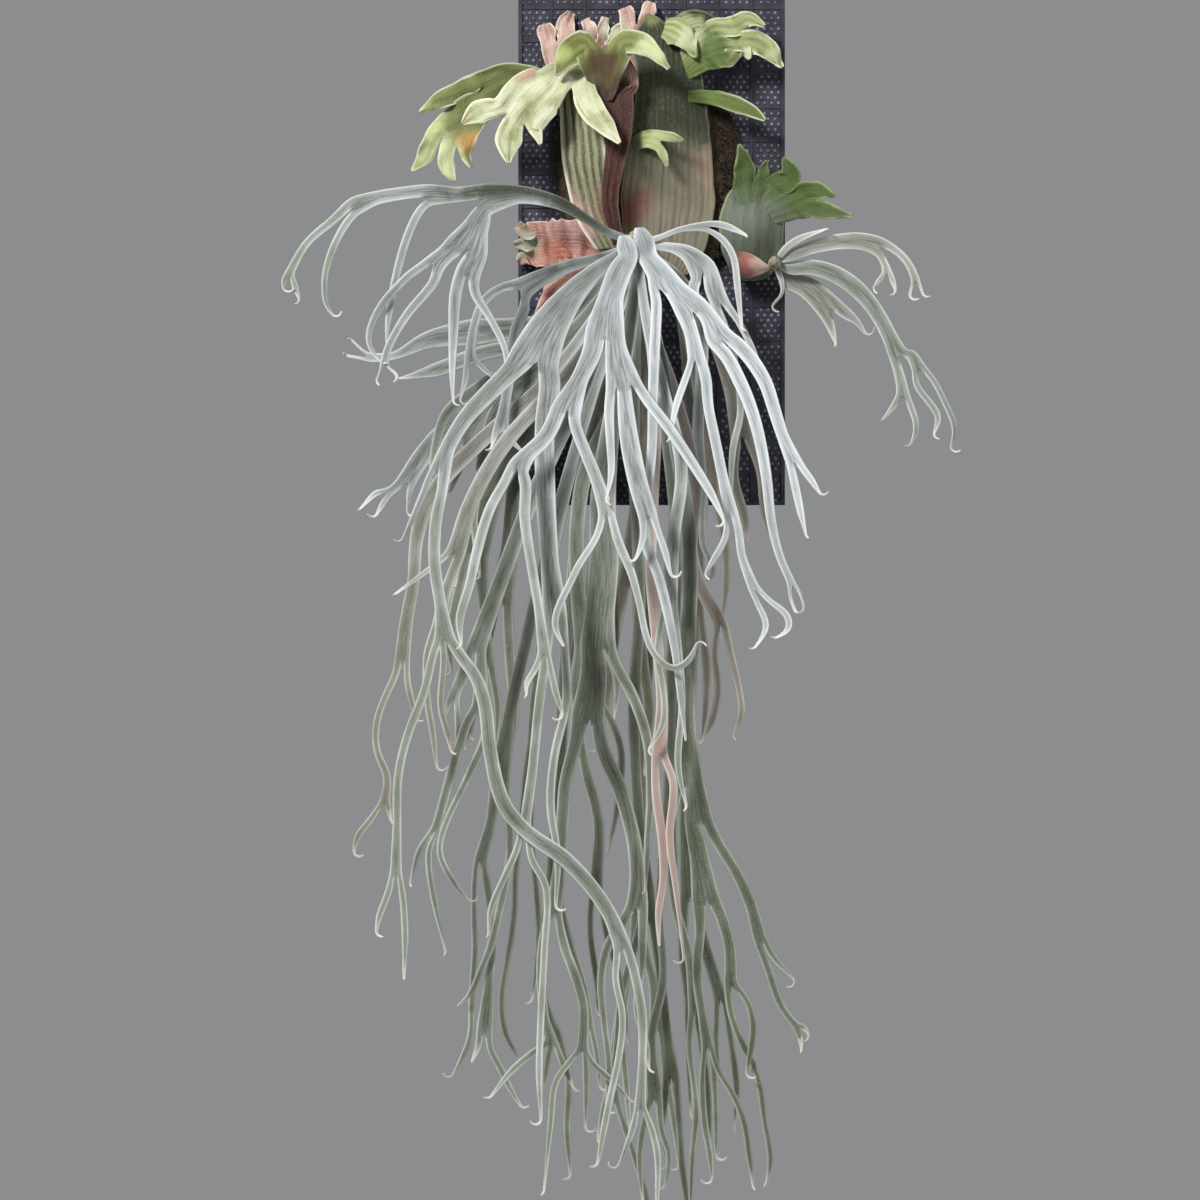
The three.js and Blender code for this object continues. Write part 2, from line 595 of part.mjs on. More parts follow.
// ---- Fertile fronds of the main crown, back to front ----
const CROWN_FRONDS = [
  {
    name: 'frond_low_left',
    order: -3,
    branch: [[600, 282, 10], [588, 400, 14], [574, 560, 14], [562, 700, 14], [556, 820, 14], [552, 905, 20],
      [[541, 960, 11], [540, 1006, 12], [554, 1046, 16],
        [[568, 1092, 8], [566, 1140, 8], [570, 1188]],
        [[546, 1072, 7], [542, 1104]]],
      [[568, 950, 11], [581, 990, 10], [587, 1034, 15],
        [[586, 1090, 8], [585, 1140]],
        [[597, 1066, 7], [600, 1098]]]],
  },
  {
    name: 'frond_low_centre',
    order: -3,
    branch: [[640, 310, 10], [648, 460, 14], [650, 600, 14], [644, 740, 14], [640, 860, 14], [640, 950, 20],
      [[626, 996, 11], [619, 1046, 15],
        [[611, 1090, 8], [606, 1142]],
        [[627, 1096, 8], [631, 1150]]],
      [[655, 994, 11], [658, 1034, 15],
        [[649, 1060, 7], [650, 1088]],
        [[667, 1080, 8], [675, 1130, 8], [681, 1178]]]],
  },
  {
    name: 'frond_low_right',
    order: -3,
    branch: [[676, 282, 10], [694, 420, 14], [700, 560, 14], [692, 700, 14], [688, 820, 14], [692, 900, 20],
      [[685, 958, 11], [693, 1012, 15],
        [[690, 1064, 7], [693, 1128]],
        [[705, 1060, 8], [711, 1120, 8], [712, 1164]]],
      [[706, 948, 11], [723, 1006, 15],
        [[719, 1050, 7], [722, 1096]],
        [[734, 1052, 8], [740, 1100, 8], [737, 1142]]]],
  },
  {
    name: 'frond_shade_left',
    order: -2,
    branch: [[598, 276, 10], [566, 330, 15], [534, 388, 20], [518, 430, 28],
      [[505, 448, 10], [493, 462]],
      [[514, 482, 17], [508, 545, 17], [500, 598, 24],
        [[484, 645, 11], [474, 694, 9], [468, 738]],
        [[508, 655, 12], [512, 716, 12], [505, 770]]]],
  },
  {
    name: 'frond_shade_centre',
    order: -2,
    branch: [[642, 312, 11], [644, 400, 17], [642, 490, 20], [632, 580, 28],
      [[614, 640, 12], [606, 705, 11], [596, 752]],
      [[642, 650, 13], [650, 716, 12], [645, 776]]],
  },
  {
    name: 'frond_shade_right',
    order: -2,
    branch: [[680, 270, 10], [712, 324, 14], [734, 382, 18], [744, 430, 24],
      [[736, 474, 11], [748, 516, 9], [750, 541]],
      [[764, 468, 11], [768, 510, 9], [780, 546]]],
  },
  {
    name: 'frond_back_left',
    order: -1,
    branch: [[602, 272, 10], [574, 346, 16], [532, 420, 20], [492, 492, 22], [474, 548, 28],
      [[455, 594, 11], [446, 640, 9], [449, 672]],
      [[482, 608, 12], [484, 660, 16],
        [[474, 706, 8], [463, 748]],
        [[496, 708, 8], [494, 752]]]],
  },
  {
    name: 'frond_back_centre',
    order: -1,
    branch: [[630, 310, 11], [610, 380, 17], [594, 440, 24],
      [[580, 482, 11], [574, 518, 10], [582, 536]],
      [[600, 510, 16], [598, 580, 24],
        [[582, 618, 9], [573, 650, 8], [570, 678]],
        [[606, 640, 10], [618, 684, 9], [614, 722]]]],
  },
  {
    name: 'frond_back_right',
    order: -1,
    branch: [[672, 276, 10], [696, 352, 16], [708, 428, 20], [710, 490, 24],
      [[700, 548, 12], [698, 610, 16],
        [[688, 652, 9], [692, 700]],
        [[708, 660, 10], [708, 704, 9], [704, 740]]],
      [[726, 536, 11], [728, 590, 9], [720, 632]]],
  },
  {
    name: 'frond_deep_left',
    order: 0,
    branch: [[622, 300], [590, 400], [560, 520], [540, 640], [530, 740], [524, 830],
      [[514, 880], [513, 920], [506, 965], [500, 1005], [504, 1040], [518, 1066]],
      [[534, 880], [538, 930], [536, 970], [531, 1005]]],
  },
  {
    name: 'frond_deep_centre',
    order: 1,
    branch: [[636, 330], [634, 450], [640, 600], [634, 720], [640, 830], [648, 920],
      [[632, 960], [622, 1000], [617, 1060], [612, 1100],
        [[603, 1118], [598, 1145]],
        [[624, 1130], [634, 1160], [648, 1210], [652, 1250]]],
      [[660, 970], [668, 1040], [672, 1080],
        [[664, 1120], [662, 1140], [668, 1170]],
        [[680, 1130], [684, 1180], [692, 1240], [688, 1275]]]],
  },
  {
    name: 'frond_deep_right',
    order: 2,
    branch: [[648, 320], [668, 440], [678, 560], [672, 680], [670, 790], [668, 860],
      [[674, 900], [690, 960], [697, 1010],
        [[690, 1050], [695, 1090], [697, 1120], [693, 1160], [690, 1230]],
        [[712, 1050], [716, 1100], [717, 1160]]],
      [[660, 920], [664, 980], [652, 1040], [655, 1100],
        [[646, 1120], [640, 1160], [643, 1205]],
        [[662, 1135], [670, 1160], [666, 1190]]]],
  },
  {
    name: 'frond_left_broad',
    order: 1,
    branch: [[595, 285, 12], [560, 318, 20], [520, 331, 36],
      [[470, 329, 28], [425, 337, 18], [392, 353, 8], [366, 355, 10],
        [[358, 346, 3], [349, 337]],
        [[356, 355, 3], [344, 353]]],
      [[475, 352, 16], [435, 367, 16], [398, 376]]],
  },
  {
    name: 'frond_left_outlier',
    order: 2,
    branch: [[594, 305, 10], [545, 352, 14], [485, 398, 18], [442, 430, 18], [419, 458, 20], [406, 479, 20],
      [[395, 486, 10], [386, 492, 10],
        [[375, 491], [358, 508]],
        [[381, 502], [375, 514]]],
      [[408, 492], [406, 511]]],
  },
  {
    name: 'frond_lower_left',
    order: 3,
    branch: [[618, 310], [590, 400], [555, 520], [528, 630], [508, 720], [500, 780],
      [[490, 825, 11], [480, 860, 15],
        [[473, 900], [474, 950], [471, 1000], [470, 1038], [463, 1058], [452, 1078]],
        [[487, 890], [491, 930], [489, 980], [484, 1030],
          [[490, 1052], [500, 1070], [507, 1086], [520, 1108]],
          [[478, 1048], [472, 1062]]]],
      [[510, 840, 9, 5], [507, 875, 9], [499, 912, 9], [490, 948, 9], [480, 972], [470, 995], [459, 1006]]],
  },
  {
    name: 'frond_left_inner',
    order: 4,
    branch: [[599, 298, 12], [562, 342, 18], [524, 374, 26], [494, 392, 40],
      [[462, 398, 14], [446, 412, 12], [436, 440, 10], [432, 468], [436, 492]],
      [[474, 412, 18], [462, 432, 18],
        [[450, 446], [445, 464]],
        [[464, 456], [456, 475], [451, 489]]],
      [[492, 418, 14], [484, 450, 12], [477, 490, 10], [470, 512],
        [[462, 545], [455, 585]],
        [[476, 545], [480, 575]]]],
  },
  {
    name: 'frond_left_long',
    order: 5,
    branch: [[597, 312, 11], [545, 382, 14], [484, 438, 16], [441, 482, 16], [423, 515, 16], [416, 545, 14],
      [414, 580, 13], [407, 620, 14], [403, 655, 16],
      [[396, 674, 8], [385, 698, 8], [377, 722, 8], [377, 750, 8], [388, 778, 9], [385, 800, 10],
        [[389, 808], [391, 820]],
        [[372, 818], [358, 836], [354, 851]]],
      [[408, 684], [413, 704], [416, 718]]],
  },
  {
    name: 'frond_left_grey',
    order: 6,
    branch: [[600, 255, 10], [572, 263, 13], [540, 277, 18], [522, 288, 24],
      [[501, 287, 10], [484, 300, 10], [474, 326, 9], [470, 358, 12],
        [[466, 378], [460, 399]],
        [[482, 367], [500, 383]]],
      [[525, 306, 12], [516, 330, 13], [511, 365, 12], [506, 400, 11], [502, 422, 14],
        [[495, 435], [492, 447]],
        [[509, 438], [523, 452]]]],
  },
  {
    name: 'frond_left_pink',
    order: 9,
    branch: [[606, 318, 11], [562, 382, 14], [508, 442, 16], [474, 500, 16], [458, 552, 20],
      [[436, 566, 7], [398, 594]],
      [[448, 592, 12], [441, 625, 14],
        [[429, 655], [430, 700], [435, 730], [439, 765]],
        [[446, 660], [443, 705], [450, 732], [453, 748]]]],
  },
  {
    name: 'frond_centre_dark',
    order: 6,
    branch: [[633, 320, 11], [616, 400, 14], [586, 470, 16], [577, 530, 16], [578, 590, 16], [584, 640, 20],
      [[576, 690, 12], [584, 760, 11], [598, 820, 11], [596, 880, 14],
        [[590, 930], [598, 990], [597, 1010]],
        [[606, 930], [620, 980], [628, 1040]]],
      [[592, 680, 10, 4], [620, 745], [618, 800], [608, 850]]],
  },
  {
    name: 'frond_right_inner',
    order: 13,
    branch: [[646, 320, 11], [664, 400, 13], [680, 470, 13], [672, 540, 13], [668, 600, 16],
      [[656, 650], [662, 690], [662, 720], [648, 745]],
      [[676, 640], [680, 700], [676, 760], [684, 800]]],
  },
  {
    name: 'frond_mid_left',
    order: 7,
    branch: [[610, 312, 11], [578, 400, 14], [532, 500, 16], [498, 590, 16], [478, 645, 20],
      [[465, 672, 14], [455, 694, 12],
        [[449, 704], [446, 716]],
        [[459, 716], [457, 740]]],
      [[482, 680, 14], [481, 704, 16],
        [[468, 722, 10], [457, 755, 10], [446, 795, 10], [438, 825, 10],
          [[430, 850], [436, 900], [447, 948]],
          [[420, 850], [412, 880]]],
        [[486, 735, 9], [474, 765, 9], [462, 790], [447, 822], [441, 850], [455, 880], [470, 898]]]],
  },
  {
    name: 'frond_long_centre',
    order: 10,
    branch: [[630, 320, 12], [612, 420, 18], [603, 500, 26], [604, 560, 30], [600, 612, 30], [598, 642, 36],
      [[594, 670, 26], [588, 714, 34],
        [[576, 740, 14], [566, 780, 13], [563, 820, 13], [560, 862, 13], [555, 905, 16],
          [[544, 935, 10], [542, 970, 10], [545, 1010, 10], [552, 1034, 13],
            [[564, 1057], [574, 1080]],
            [[538, 1042], [514, 1062], [493, 1088]]],
          [[565, 940, 10, 5], [576, 970, 10], [584, 1000, 10], [583, 1040, 12],
            [[568, 1056], [556, 1074], [552, 1110], [545, 1180]],
            [[594, 1056], [612, 1072], [630, 1092]]]],
        [[603, 748, 16, -5], [619, 785, 15], [632, 830, 15], [637, 870, 16], [637, 898, 22],
          [[624, 914, 11], [607, 942, 10], [601, 975, 9], [604, 1015], [609, 1060], [606, 1100]],
          [[642, 930, 10], [641, 965], [636, 1000], [646, 1040], [648, 1060]]]],
      [[616, 664, 12], [632, 694, 12], [646, 735, 11], [650, 785, 10], [646, 850], [645, 884]]],
  },
  {
    name: 'frond_long_right',
    order: 11,
    branch: [[652, 320, 12], [672, 430, 14], [688, 540, 15], [686, 640, 17], [683, 725, 22], [688, 775, 26],
      [[672, 808, 8], [663, 848]],
      [[696, 812, 28],
        [[718, 842, 11], [734, 868, 11], [748, 900, 12], [756, 930, 14],
          [[763, 957, 8], [777, 997, 8], [792, 1017, 8],
            [[800, 1018], [804, 1024]],
            [[797, 1028], [797, 1040]]],
          [[770, 950], [790, 971]]],
        [[698, 856, 20], [703, 890, 28],
          [[698, 920, 11], [695, 965, 10], [700, 1005, 10], [705, 1035, 13],
            [[700, 1070], [702, 1110], [708, 1145], [710, 1167]],
            [[715, 1060], [729, 1082], [741, 1112], [746, 1145], [750, 1174]]],
          [[718, 908, 12], [727, 940, 12], [728, 975, 14],
            [[728, 1004, 8], [738, 1032], [750, 1055], [757, 1080], [761, 1110], [767, 1148], [763, 1170]],
            [[744, 992, 7, 6], [750, 1016], [748, 1036], [743, 1062]]]]]],
  },
  {
    name: 'frond_mid_right',
    order: 8,
    branch: [[650, 320, 11], [676, 400, 13], [694, 480, 14], [690, 550, 14], [702, 592, 13], [719, 622, 15],
      [[730, 655], [738, 690], [740, 714], [732, 732]],
      [[713, 652], [717, 688], [711, 720], [701, 740]]],
  },
  {
    name: 'frond_right_broad',
    order: 5,
    branch: [[672, 244, 10], [690, 251, 18], [704, 268, 30],
      [[693, 288, 12], [702, 315, 13], [702, 370, 13], [698, 430, 12], [701, 485, 14],
        [[695, 499, 6], [686, 515]],
        [[702, 525], [704, 548], [713, 566], [711, 580], [702, 584]]],
      [[714, 284, 20], [720, 300, 20],
        [[727, 328], [736, 365], [741, 410], [733, 450], [731, 500]],
        [[739, 320], [752, 346], [762, 368]]]],
  },
  {
    name: 'frond_right_arc',
    order: 6,
    branch: [[660, 234, 6], [682, 226, 6], [704, 224, 10],
      [[718, 222], [731, 226], [745, 233]],
      [[722, 236], [734, 254], [738, 285], [742, 326]]],
  },
  {
    name: 'frond_pink_centre',
    order: 12,
    branch: [[641, 280, 10], [645, 310, 10], [651, 345, 11], [655, 420, 12], [652, 500, 12], [650, 570, 12],
      [656, 640, 12], [661, 700, 12], [658, 748, 16],
      [[655, 790, 10], [661, 835, 10], [662, 875, 9], [657, 905], [658, 936]],
      [[672, 780, 9], [668, 830, 9], [674, 880], [682, 950]]],
  },
  {
    name: 'frond_left_arch',
    order: 13,
    branch: [[608, 232, 9], [590, 222, 9], [560, 206, 13], [520, 199, 18], [488, 205, 32],
      [[460, 201, 15], [432, 202, 22],
        [[417, 228, 9, -6], [404, 265, 9], [393, 318], [391, 346]],
        [[405, 201, 13], [380, 206, 14], [360, 214, 20],
          [[340, 227, 9], [313, 251, 8], [297, 279, 9],
            [[291, 288], [290, 294]],
            [[302, 294], [306, 305]]],
          [[343, 246, 8], [331, 282, 7], [332, 312, 6], [338, 321]]]],
      [[478, 233, 26], [470, 252, 44],
        [[448, 260, 18], [438, 270, 22],
          [[428, 270, 9], [410, 284, 9], [384, 314, 8], [373, 344, 7], [379, 360, 6], [386, 367]],
          [[437, 288, 10], [411, 320, 9], [393, 352, 8], [389, 368, 9],
            [[385, 377, 3], [382, 384]],
            [[393, 373, 3], [400, 378]]]],
        [[471, 276, 26],
          [[458, 300, 13], [456, 340, 10], [455, 376, 7], [456, 405]],
          [[477, 298, 11], [491, 321, 8], [507, 354, 7], [508, 382, 6], [500, 401]]]]],
  },
  {
    name: 'frond_left_sweep',
    order: 14,
    branch: [[613, 258, 11], [600, 268, 15], [572, 298, 26], [548, 334, 40], [536, 362, 50],
      [[512, 376, 20], [489, 399, 18], [467, 424, 16], [451, 452, 15], [446, 468, 20],
        [[433, 481, 7], [425, 503, 8], [417, 522], [408, 541]],
        [[446, 494, 11], [440, 525, 12], [439, 565, 12], [445, 605, 12], [449, 636, 20],
          [[438, 652, 9], [429, 690, 9], [413, 732, 9], [404, 772, 9], [403, 820, 9], [402, 862, 12],
            [[394, 886], [386, 906], [383, 921]],
            [[409, 890], [411, 926], [410, 966]]],
          [[465, 655, 12], [480, 676, 13], [489, 706, 14], [493, 745, 14], [506, 797, 15], [530, 826, 15],
            [562, 848, 16], [588, 874, 15], [610, 906, 15], [621, 934, 18],
            [[615, 968], [622, 1004], [618, 1045], [610, 1082], [604, 1112], [598, 1146]],
            [[634, 964, 10], [641, 1004, 10], [641, 1050, 9], [639, 1090, 12],
              [[632, 1112], [618, 1149]],
              [[650, 1112], [656, 1140], [655, 1192]]]]]],
      [[551, 388, 22, -6], [546, 430, 20], [547, 500, 20], [551, 560, 18], [556, 610, 24],
        [[548, 650, 10], [541, 700, 10], [535, 760, 10], [528, 812, 11],
          [[520, 840], [506, 872], [494, 900], [492, 924]],
          [[533, 850], [548, 880], [546, 940], [543, 1000], [541, 1060], [543, 1105]]],
        [[566, 652, 9], [567, 700, 9], [556, 750, 9], [552, 800, 9], [559, 850], [557, 897]]]],
  },
  {
    name: 'frond_front_right',
    order: 15,
    stalk: 18,
    branch: [[648, 258, 20], [658, 272, 25], [664, 286, 34],
      [[656, 305, 12], [654, 350, 12], [652, 400, 11], [651, 450, 11], [646, 500, 11], [645, 545, 12],
        [656, 574, 11], [664, 604, 11], [673, 650, 9], [679, 700, 8], [683, 734]],
      [[675, 292, 22], [690, 312, 34],
        [[690, 336, 14], [695, 362, 18],
          [[685, 380, 8], [675, 408], [668, 442]],
          [[704, 382, 12], [706, 410, 11], [713, 446, 11], [720, 482, 11], [727, 514, 15],
            [[722, 540], [712, 558], [703, 573]],
            [[735, 534, 9], [738, 558, 9], [749, 588, 12],
              [[754, 606, 6], [762, 626], [751, 645]],
              [[767, 603, 6], [781, 614], [783, 628], [772, 636]]]]],
        [[708, 322, 18], [717, 342, 28],
          [[724, 360, 14], [736, 384, 14], [746, 408, 13], [755, 440, 12], [762, 480, 11], [766, 520, 10],
            [774, 556, 9], [786, 584, 9],
            [[795, 594, 4], [798, 607]],
            [[784, 598, 4], [789, 610]]],
          [[732, 346, 15], [748, 364, 15], [762, 388, 14], [770, 414, 13], [778, 440, 12], [788, 464, 16],
            [[790, 490, 9], [795, 515, 8], [800, 537]],
            [[800, 476], [807, 485], [813, 496]]]]]],
  },
  {
    name: 'frond_front_left',
    order: 16,
    stalk: 12,
    branch: [[629, 257, 20], [621, 270, 24], [611, 300, 25], [605, 336, 40],
      [[593, 354, 20], [580, 384, 17], [568, 412, 30],
        [[548, 440, 16], [530, 458, 16], [521, 470, 22],
          [[508, 484, 10], [493, 512, 11], [482, 548, 11], [474, 585, 10], [464, 620, 9], [466, 642]],
          [[528, 488, 12], [527, 520, 11], [533, 562, 10], [541, 610, 10], [546, 650, 13],
            [[536, 670], [528, 680], [529, 690]],
            [[554, 675], [558, 692], [564, 710]]]],
        [[576, 430, 12, -5], [586, 456, 12], [598, 486, 13], [606, 514, 16],
          [[596, 540], [580, 565], [569, 588], [560, 606], [556, 625], [564, 643]],
          [[618, 544, 10], [630, 572, 9], [638, 602], [645, 636], [655, 656], [672, 667], [688, 656],
            [693, 643]]]],
      [[616, 354, 22], [623, 388, 36],
        [[609, 412, 11, 4], [610, 444, 9], [611, 476], [606, 502]],
        [[626, 422, 18], [630, 452, 20], [638, 490, 20], [646, 516, 20],
          [[642, 540], [635, 560]],
          [[656, 532], [664, 556], [668, 575]]],
        [[646, 404, 12], [667, 432, 12], [688, 464, 11], [708, 497, 9], [720, 522]]]],
  },
];

// ---- Fertile fronds of the pup, back to front ----
const PUP_FRONDS = [
  {
    name: 'pup_frond_wedge',
    order: 0,
    branch: [[788, 272, 18], [812, 282, 24], [833, 302, 28],
      [[850, 308, 14], [862, 317], [870, 329]],
      [[834, 318, 12], [840, 338]]],
  },
  {
    name: 'pup_frond_hook',
    order: 1,
    branch: [[786, 278, 6], [786, 288, 5], [776, 299]],
  },
  {
    name: 'pup_frond_short',
    order: 4,
    branch: [[788, 243, 8], [804, 233, 8], [828, 225]],
  },
  {
    name: 'pup_frond_long',
    order: 2,
    branch: [[792, 263, 14], [816, 262, 16], [840, 270, 18], [860, 284, 18], [878, 305, 16], [893, 332, 16],
      [902, 352, 20],
      [[904, 374, 11], [907, 390, 13],
        [[899, 402], [887, 417]],
        [[914, 402], [920, 418], [921, 430], [915, 442]]],
      [[914, 350, 12], [922, 364, 15],
        [[920, 382], [936, 403], [943, 416], [938, 431]],
        [[938, 378], [950, 402], [958, 420], [960, 432], [955, 444]]]],
  },
  {
    name: 'pup_frond_upper',
    order: 3,
    branch: [[794, 250, 12], [816, 242, 14], [842, 237, 16], [866, 237, 18], [882, 242, 20],
      [[887, 256, 8], [891, 268, 9],
        [[883, 276], [878, 282]],
        [[896, 276], [899, 286]]],
      [[900, 247, 8], [912, 260, 8], [919, 276, 9],
        [[915, 284, 3], [913, 291]],
        [[924, 284, 3], [926, 291]]]],
  },
];

function addFrond(crown, { name, order, branch, stalk = crown.stalk }, material) {
  const first = onBoard(branch[0][0], branch[0][1]);
  const heading = first.clone().sub(crown.at).normalize();
  const slope = Math.abs(crown.rise + crown.hang * order) / crown.reach;
  const clear = CLEARANCE + (((BLADE + STALK.extra) / 2) * slope) / Math.hypot(1, slope);
  const root = crown.at.clone().addScaledVector(heading, crown.radius + clear);
  const depthAt = archFrom(crown, order);
  addPiece(name, bladeGeometry({ branch, root, heading, depthAt, width: stalk }), material);
}

const mostOrder = (fronds) => Math.max(...fronds.map((frond) => frond.order));

const crownRhizome = rhizomeGeometry(CROWN, rightShield, mostOrder(CROWN_FRONDS));
const pupRhizome = rhizomeGeometry(PUP_CROWN, pupShield, mostOrder(PUP_FRONDS));
addPiece('crown_rhizome', crownRhizome, MATERIALS.rhizome);
addPiece('pup_rhizome', pupRhizome, MATERIALS.rhizome);
for (const frond of CROWN_FRONDS) addFrond(CROWN, frond, MATERIALS.frond);
for (const frond of PUP_FRONDS) addFrond(PUP_CROWN, frond, MATERIALS.youngFrond);

// ---- The pup's pink bud, pointing right ----
function budGeometry() {
  const { length, radius } = BUD;
  const shape = [[0, 0], [0.55, 0.04], [0.9, 0.2], [1, 0.42], [0.82, 0.66], [0.45, 0.86], [0, 1]];
  const profile = shape.map(([out, along]) => [out * radius, along * length]);
  const depth = seatOn(pupShield, BUD.middle, radius, BUD.sink) + radius;
  const bud = turned(profile, BUD.sides).rotateZ(BUD.turn - Math.PI / 2);
  return bud.translate(BUD.foot.x, -depth, BUD.foot.y);
}

addPiece('pup_bud', budGeometry(), MATERIALS.bud);

export default group;
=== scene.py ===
"""A mounted staghorn fern: its looks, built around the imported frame. Lengths are in millimetres
until a mesh is finished, and then in metres. The front faces -Y and +Z is up."""
import math
from dataclasses import dataclass, replace

import bmesh
import bpy
from mathutils import Matrix, Vector, noise


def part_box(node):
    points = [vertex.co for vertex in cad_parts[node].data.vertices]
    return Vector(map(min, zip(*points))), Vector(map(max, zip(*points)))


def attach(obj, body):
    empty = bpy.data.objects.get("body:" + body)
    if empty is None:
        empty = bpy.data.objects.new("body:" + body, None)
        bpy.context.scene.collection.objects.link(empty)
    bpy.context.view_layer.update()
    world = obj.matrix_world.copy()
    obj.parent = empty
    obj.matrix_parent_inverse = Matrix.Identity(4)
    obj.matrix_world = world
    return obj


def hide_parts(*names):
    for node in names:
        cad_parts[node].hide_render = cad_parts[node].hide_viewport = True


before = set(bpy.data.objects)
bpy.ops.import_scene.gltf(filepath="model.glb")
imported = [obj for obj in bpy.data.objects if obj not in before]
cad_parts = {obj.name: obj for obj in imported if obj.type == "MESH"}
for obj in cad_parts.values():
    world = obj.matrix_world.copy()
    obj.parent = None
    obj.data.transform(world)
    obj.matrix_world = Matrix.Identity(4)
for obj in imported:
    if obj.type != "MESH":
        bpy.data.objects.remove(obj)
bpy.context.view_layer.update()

MM = 0.001
BODY = "root"

# ---- Sizes that the solids share ----
SHEET = Vector((653, 230))  # the board's centre on the drawing sheet that fronds are laid out on
BLADE = 1.2  # how thick a frond or a shield is
TIP_WIDTH = 3.4
TWIG_BASE, TWIG_GROWTH = 2.5, 5  # a limb's usual width grows with the tips that it carries
FORK_FLARE = 1.15
KEEP_HEADING = 0.833  # how far a limb keeps to the way that it left its fork
STEEPEST = 0.7  # the most that a blade leans across, as a share of its half width
PANEL_FRONT = 14.3
MOSS_BACK = 15.8
LIMB_SPREAD, LIMB_FADE, EDGE_TILT = 1.8, 0.65, 2.2  # how a fork's limbs part in depth, and lean
LOBE_SEAT = 2
MOUND_FALL = 1.2

# ---- How finely the blades are drawn, and their form across ----
FROND_STEP = 9
SHIELD_STEP = 7
STALK_ROUND = 55  # a stalk is rounded this far from its crown
CHANNEL = 14  # a blade's channel is as deep on any half width above this
CHANNEL_LEVEL = 0.4  # this share of a channel's depth lies behind the blade's rule
SETTLE = 30  # a blade takes on its own form over this length
FAR_FROM_TIP = 999
TONE_SPREAD = 0.12  # how much the limbs of a frond differ in tone
RIPPLE = {"height": 1.3, "across": 38, "along": 60}
RUFFLE = {"slant": 2.1, "drift": 4, "drift_length": 30, "drift_slice": 7}
TEAR = {"along": 6, "across": 4, "level": 5}
HOOK = {"radius": 5.5, "steps": 5, "least": 15, "most": 165, "end_width": 2.2, "nearer": 5}


def on_board(across, down):
    """A place on the sheet, in mm right of and above the board's centre."""
    return Vector((across - SHEET.x, SHEET.y - down))


def fraction(number):
    return number - math.floor(number)


def scatter(x, z):
    """A steady number from -1 to 1 that differs from place to place."""
    return 2 * fraction(math.sin(x * 12.9898 + z * 78.233) * 43758.5453) - 1


def ease(t):
    return t * t * (3 - 2 * t)


def mix(a, b, t):
    return a + (b - a) * t


def clamp(value, low, high):
    return max(low, min(high, value))


# ---- Depth in front of the wall ----
MOUNDS = [
    {"at": on_board(638, 160), "half_width": 84, "half_height": 118, "height": 52},
    {"at": on_board(757, 216), "half_width": 34, "half_height": 40, "height": 30},
]


@dataclass
class Crown:
    """Where fronds spring from, the width of their stalks, and how their arches lie in front of the wall."""
    at: Vector
    radius: float
    stalk: float
    depth: float
    stack: float  # each frond lies this much in front of the one before
    rise: float
    hang: float  # and hangs out by this much more
    reach: float


CROWN = Crown(on_board(637, 240), 12, 8, 70, 3.4, 12, 12, 165)
PUP_CROWN = Crown(on_board(778, 257), 7, 7, 56, 3.4, 8, 10, 90)


def mound_height(x, z):
    height = 0
    for mound in MOUNDS:
        across = (x - mound["at"].x) / mound["half_width"]
        up = (z - mound["at"].y) / mound["half_height"]
        height += mound["height"] * math.exp(-MOUND_FALL * (across * across + up * up))
    return height


def over_mound(above):
    return lambda x, z: MOSS_BACK + mound_height(x, z) + above


def out_from(depth_at, start, rise, reach):
    centre = on_board(*start)

    def depth(x, z):
        away = math.hypot(x - centre.x, z - centre.y)
        return depth_at(x, z) + rise * (1 - math.exp(-away / reach))
    return depth


def lobe_from(depth_at, foot, heading, rise, reach, seat=LOBE_SEAT):
    root = on_board(*foot)
    way = Vector(heading).normalized()

    def depth(x, z):
        ahead = (Vector((x, z)) - root).dot(way)
        return depth_at(x, z) + rise * (1 - math.exp(-max(0, ahead) / reach)) - seat
    return depth


def arch_from(crown, order):
    def depth(x, z):
        away = math.hypot(x - crown.at.x, z - crown.at.y)
        out = (crown.rise + crown.hang * order) * (1 - math.exp(-away / crown.reach))
        return crown.depth + crown.stack * order + out
    return depth


# ---- Blades, drawn out row by row with extrusions ----
# A branch is a list of sheet points [across, down] or [across, down, width], then the branches
# that it forks into. Its first point may also say how much nearer it lies: [..., width, nearer].
def is_point(item):
    return not isinstance(item[0], list)


def limbs_of(branch):
    return [item for item in branch if not is_point(item)]


def tips_of(branch):
    return sum(tips_of(limb) for limb in limbs_of(branch)) or 1


def usual_width(branch):
    return TWIG_BASE + TWIG_GROWTH * math.sqrt(tips_of(branch))


@dataclass
class Start:
    """Where a limb leaves from, and how it lies and looks there."""
    row: list
    centre: Vector
    heading: Vector
    width: float
    tilt: float = 0
    lift_before: float = 0
    lift: float = 0
    level: int = 0
    along: float = 0
    tone: float = 0
    blush: float = 0


@dataclass
class Station:
    """A place where a branch is drawn across, and how far along its branch and its frond that is."""
    centre: Vector
    heading: Vector
    width: float
    progress: float
    along: float
    nearer: float = 0


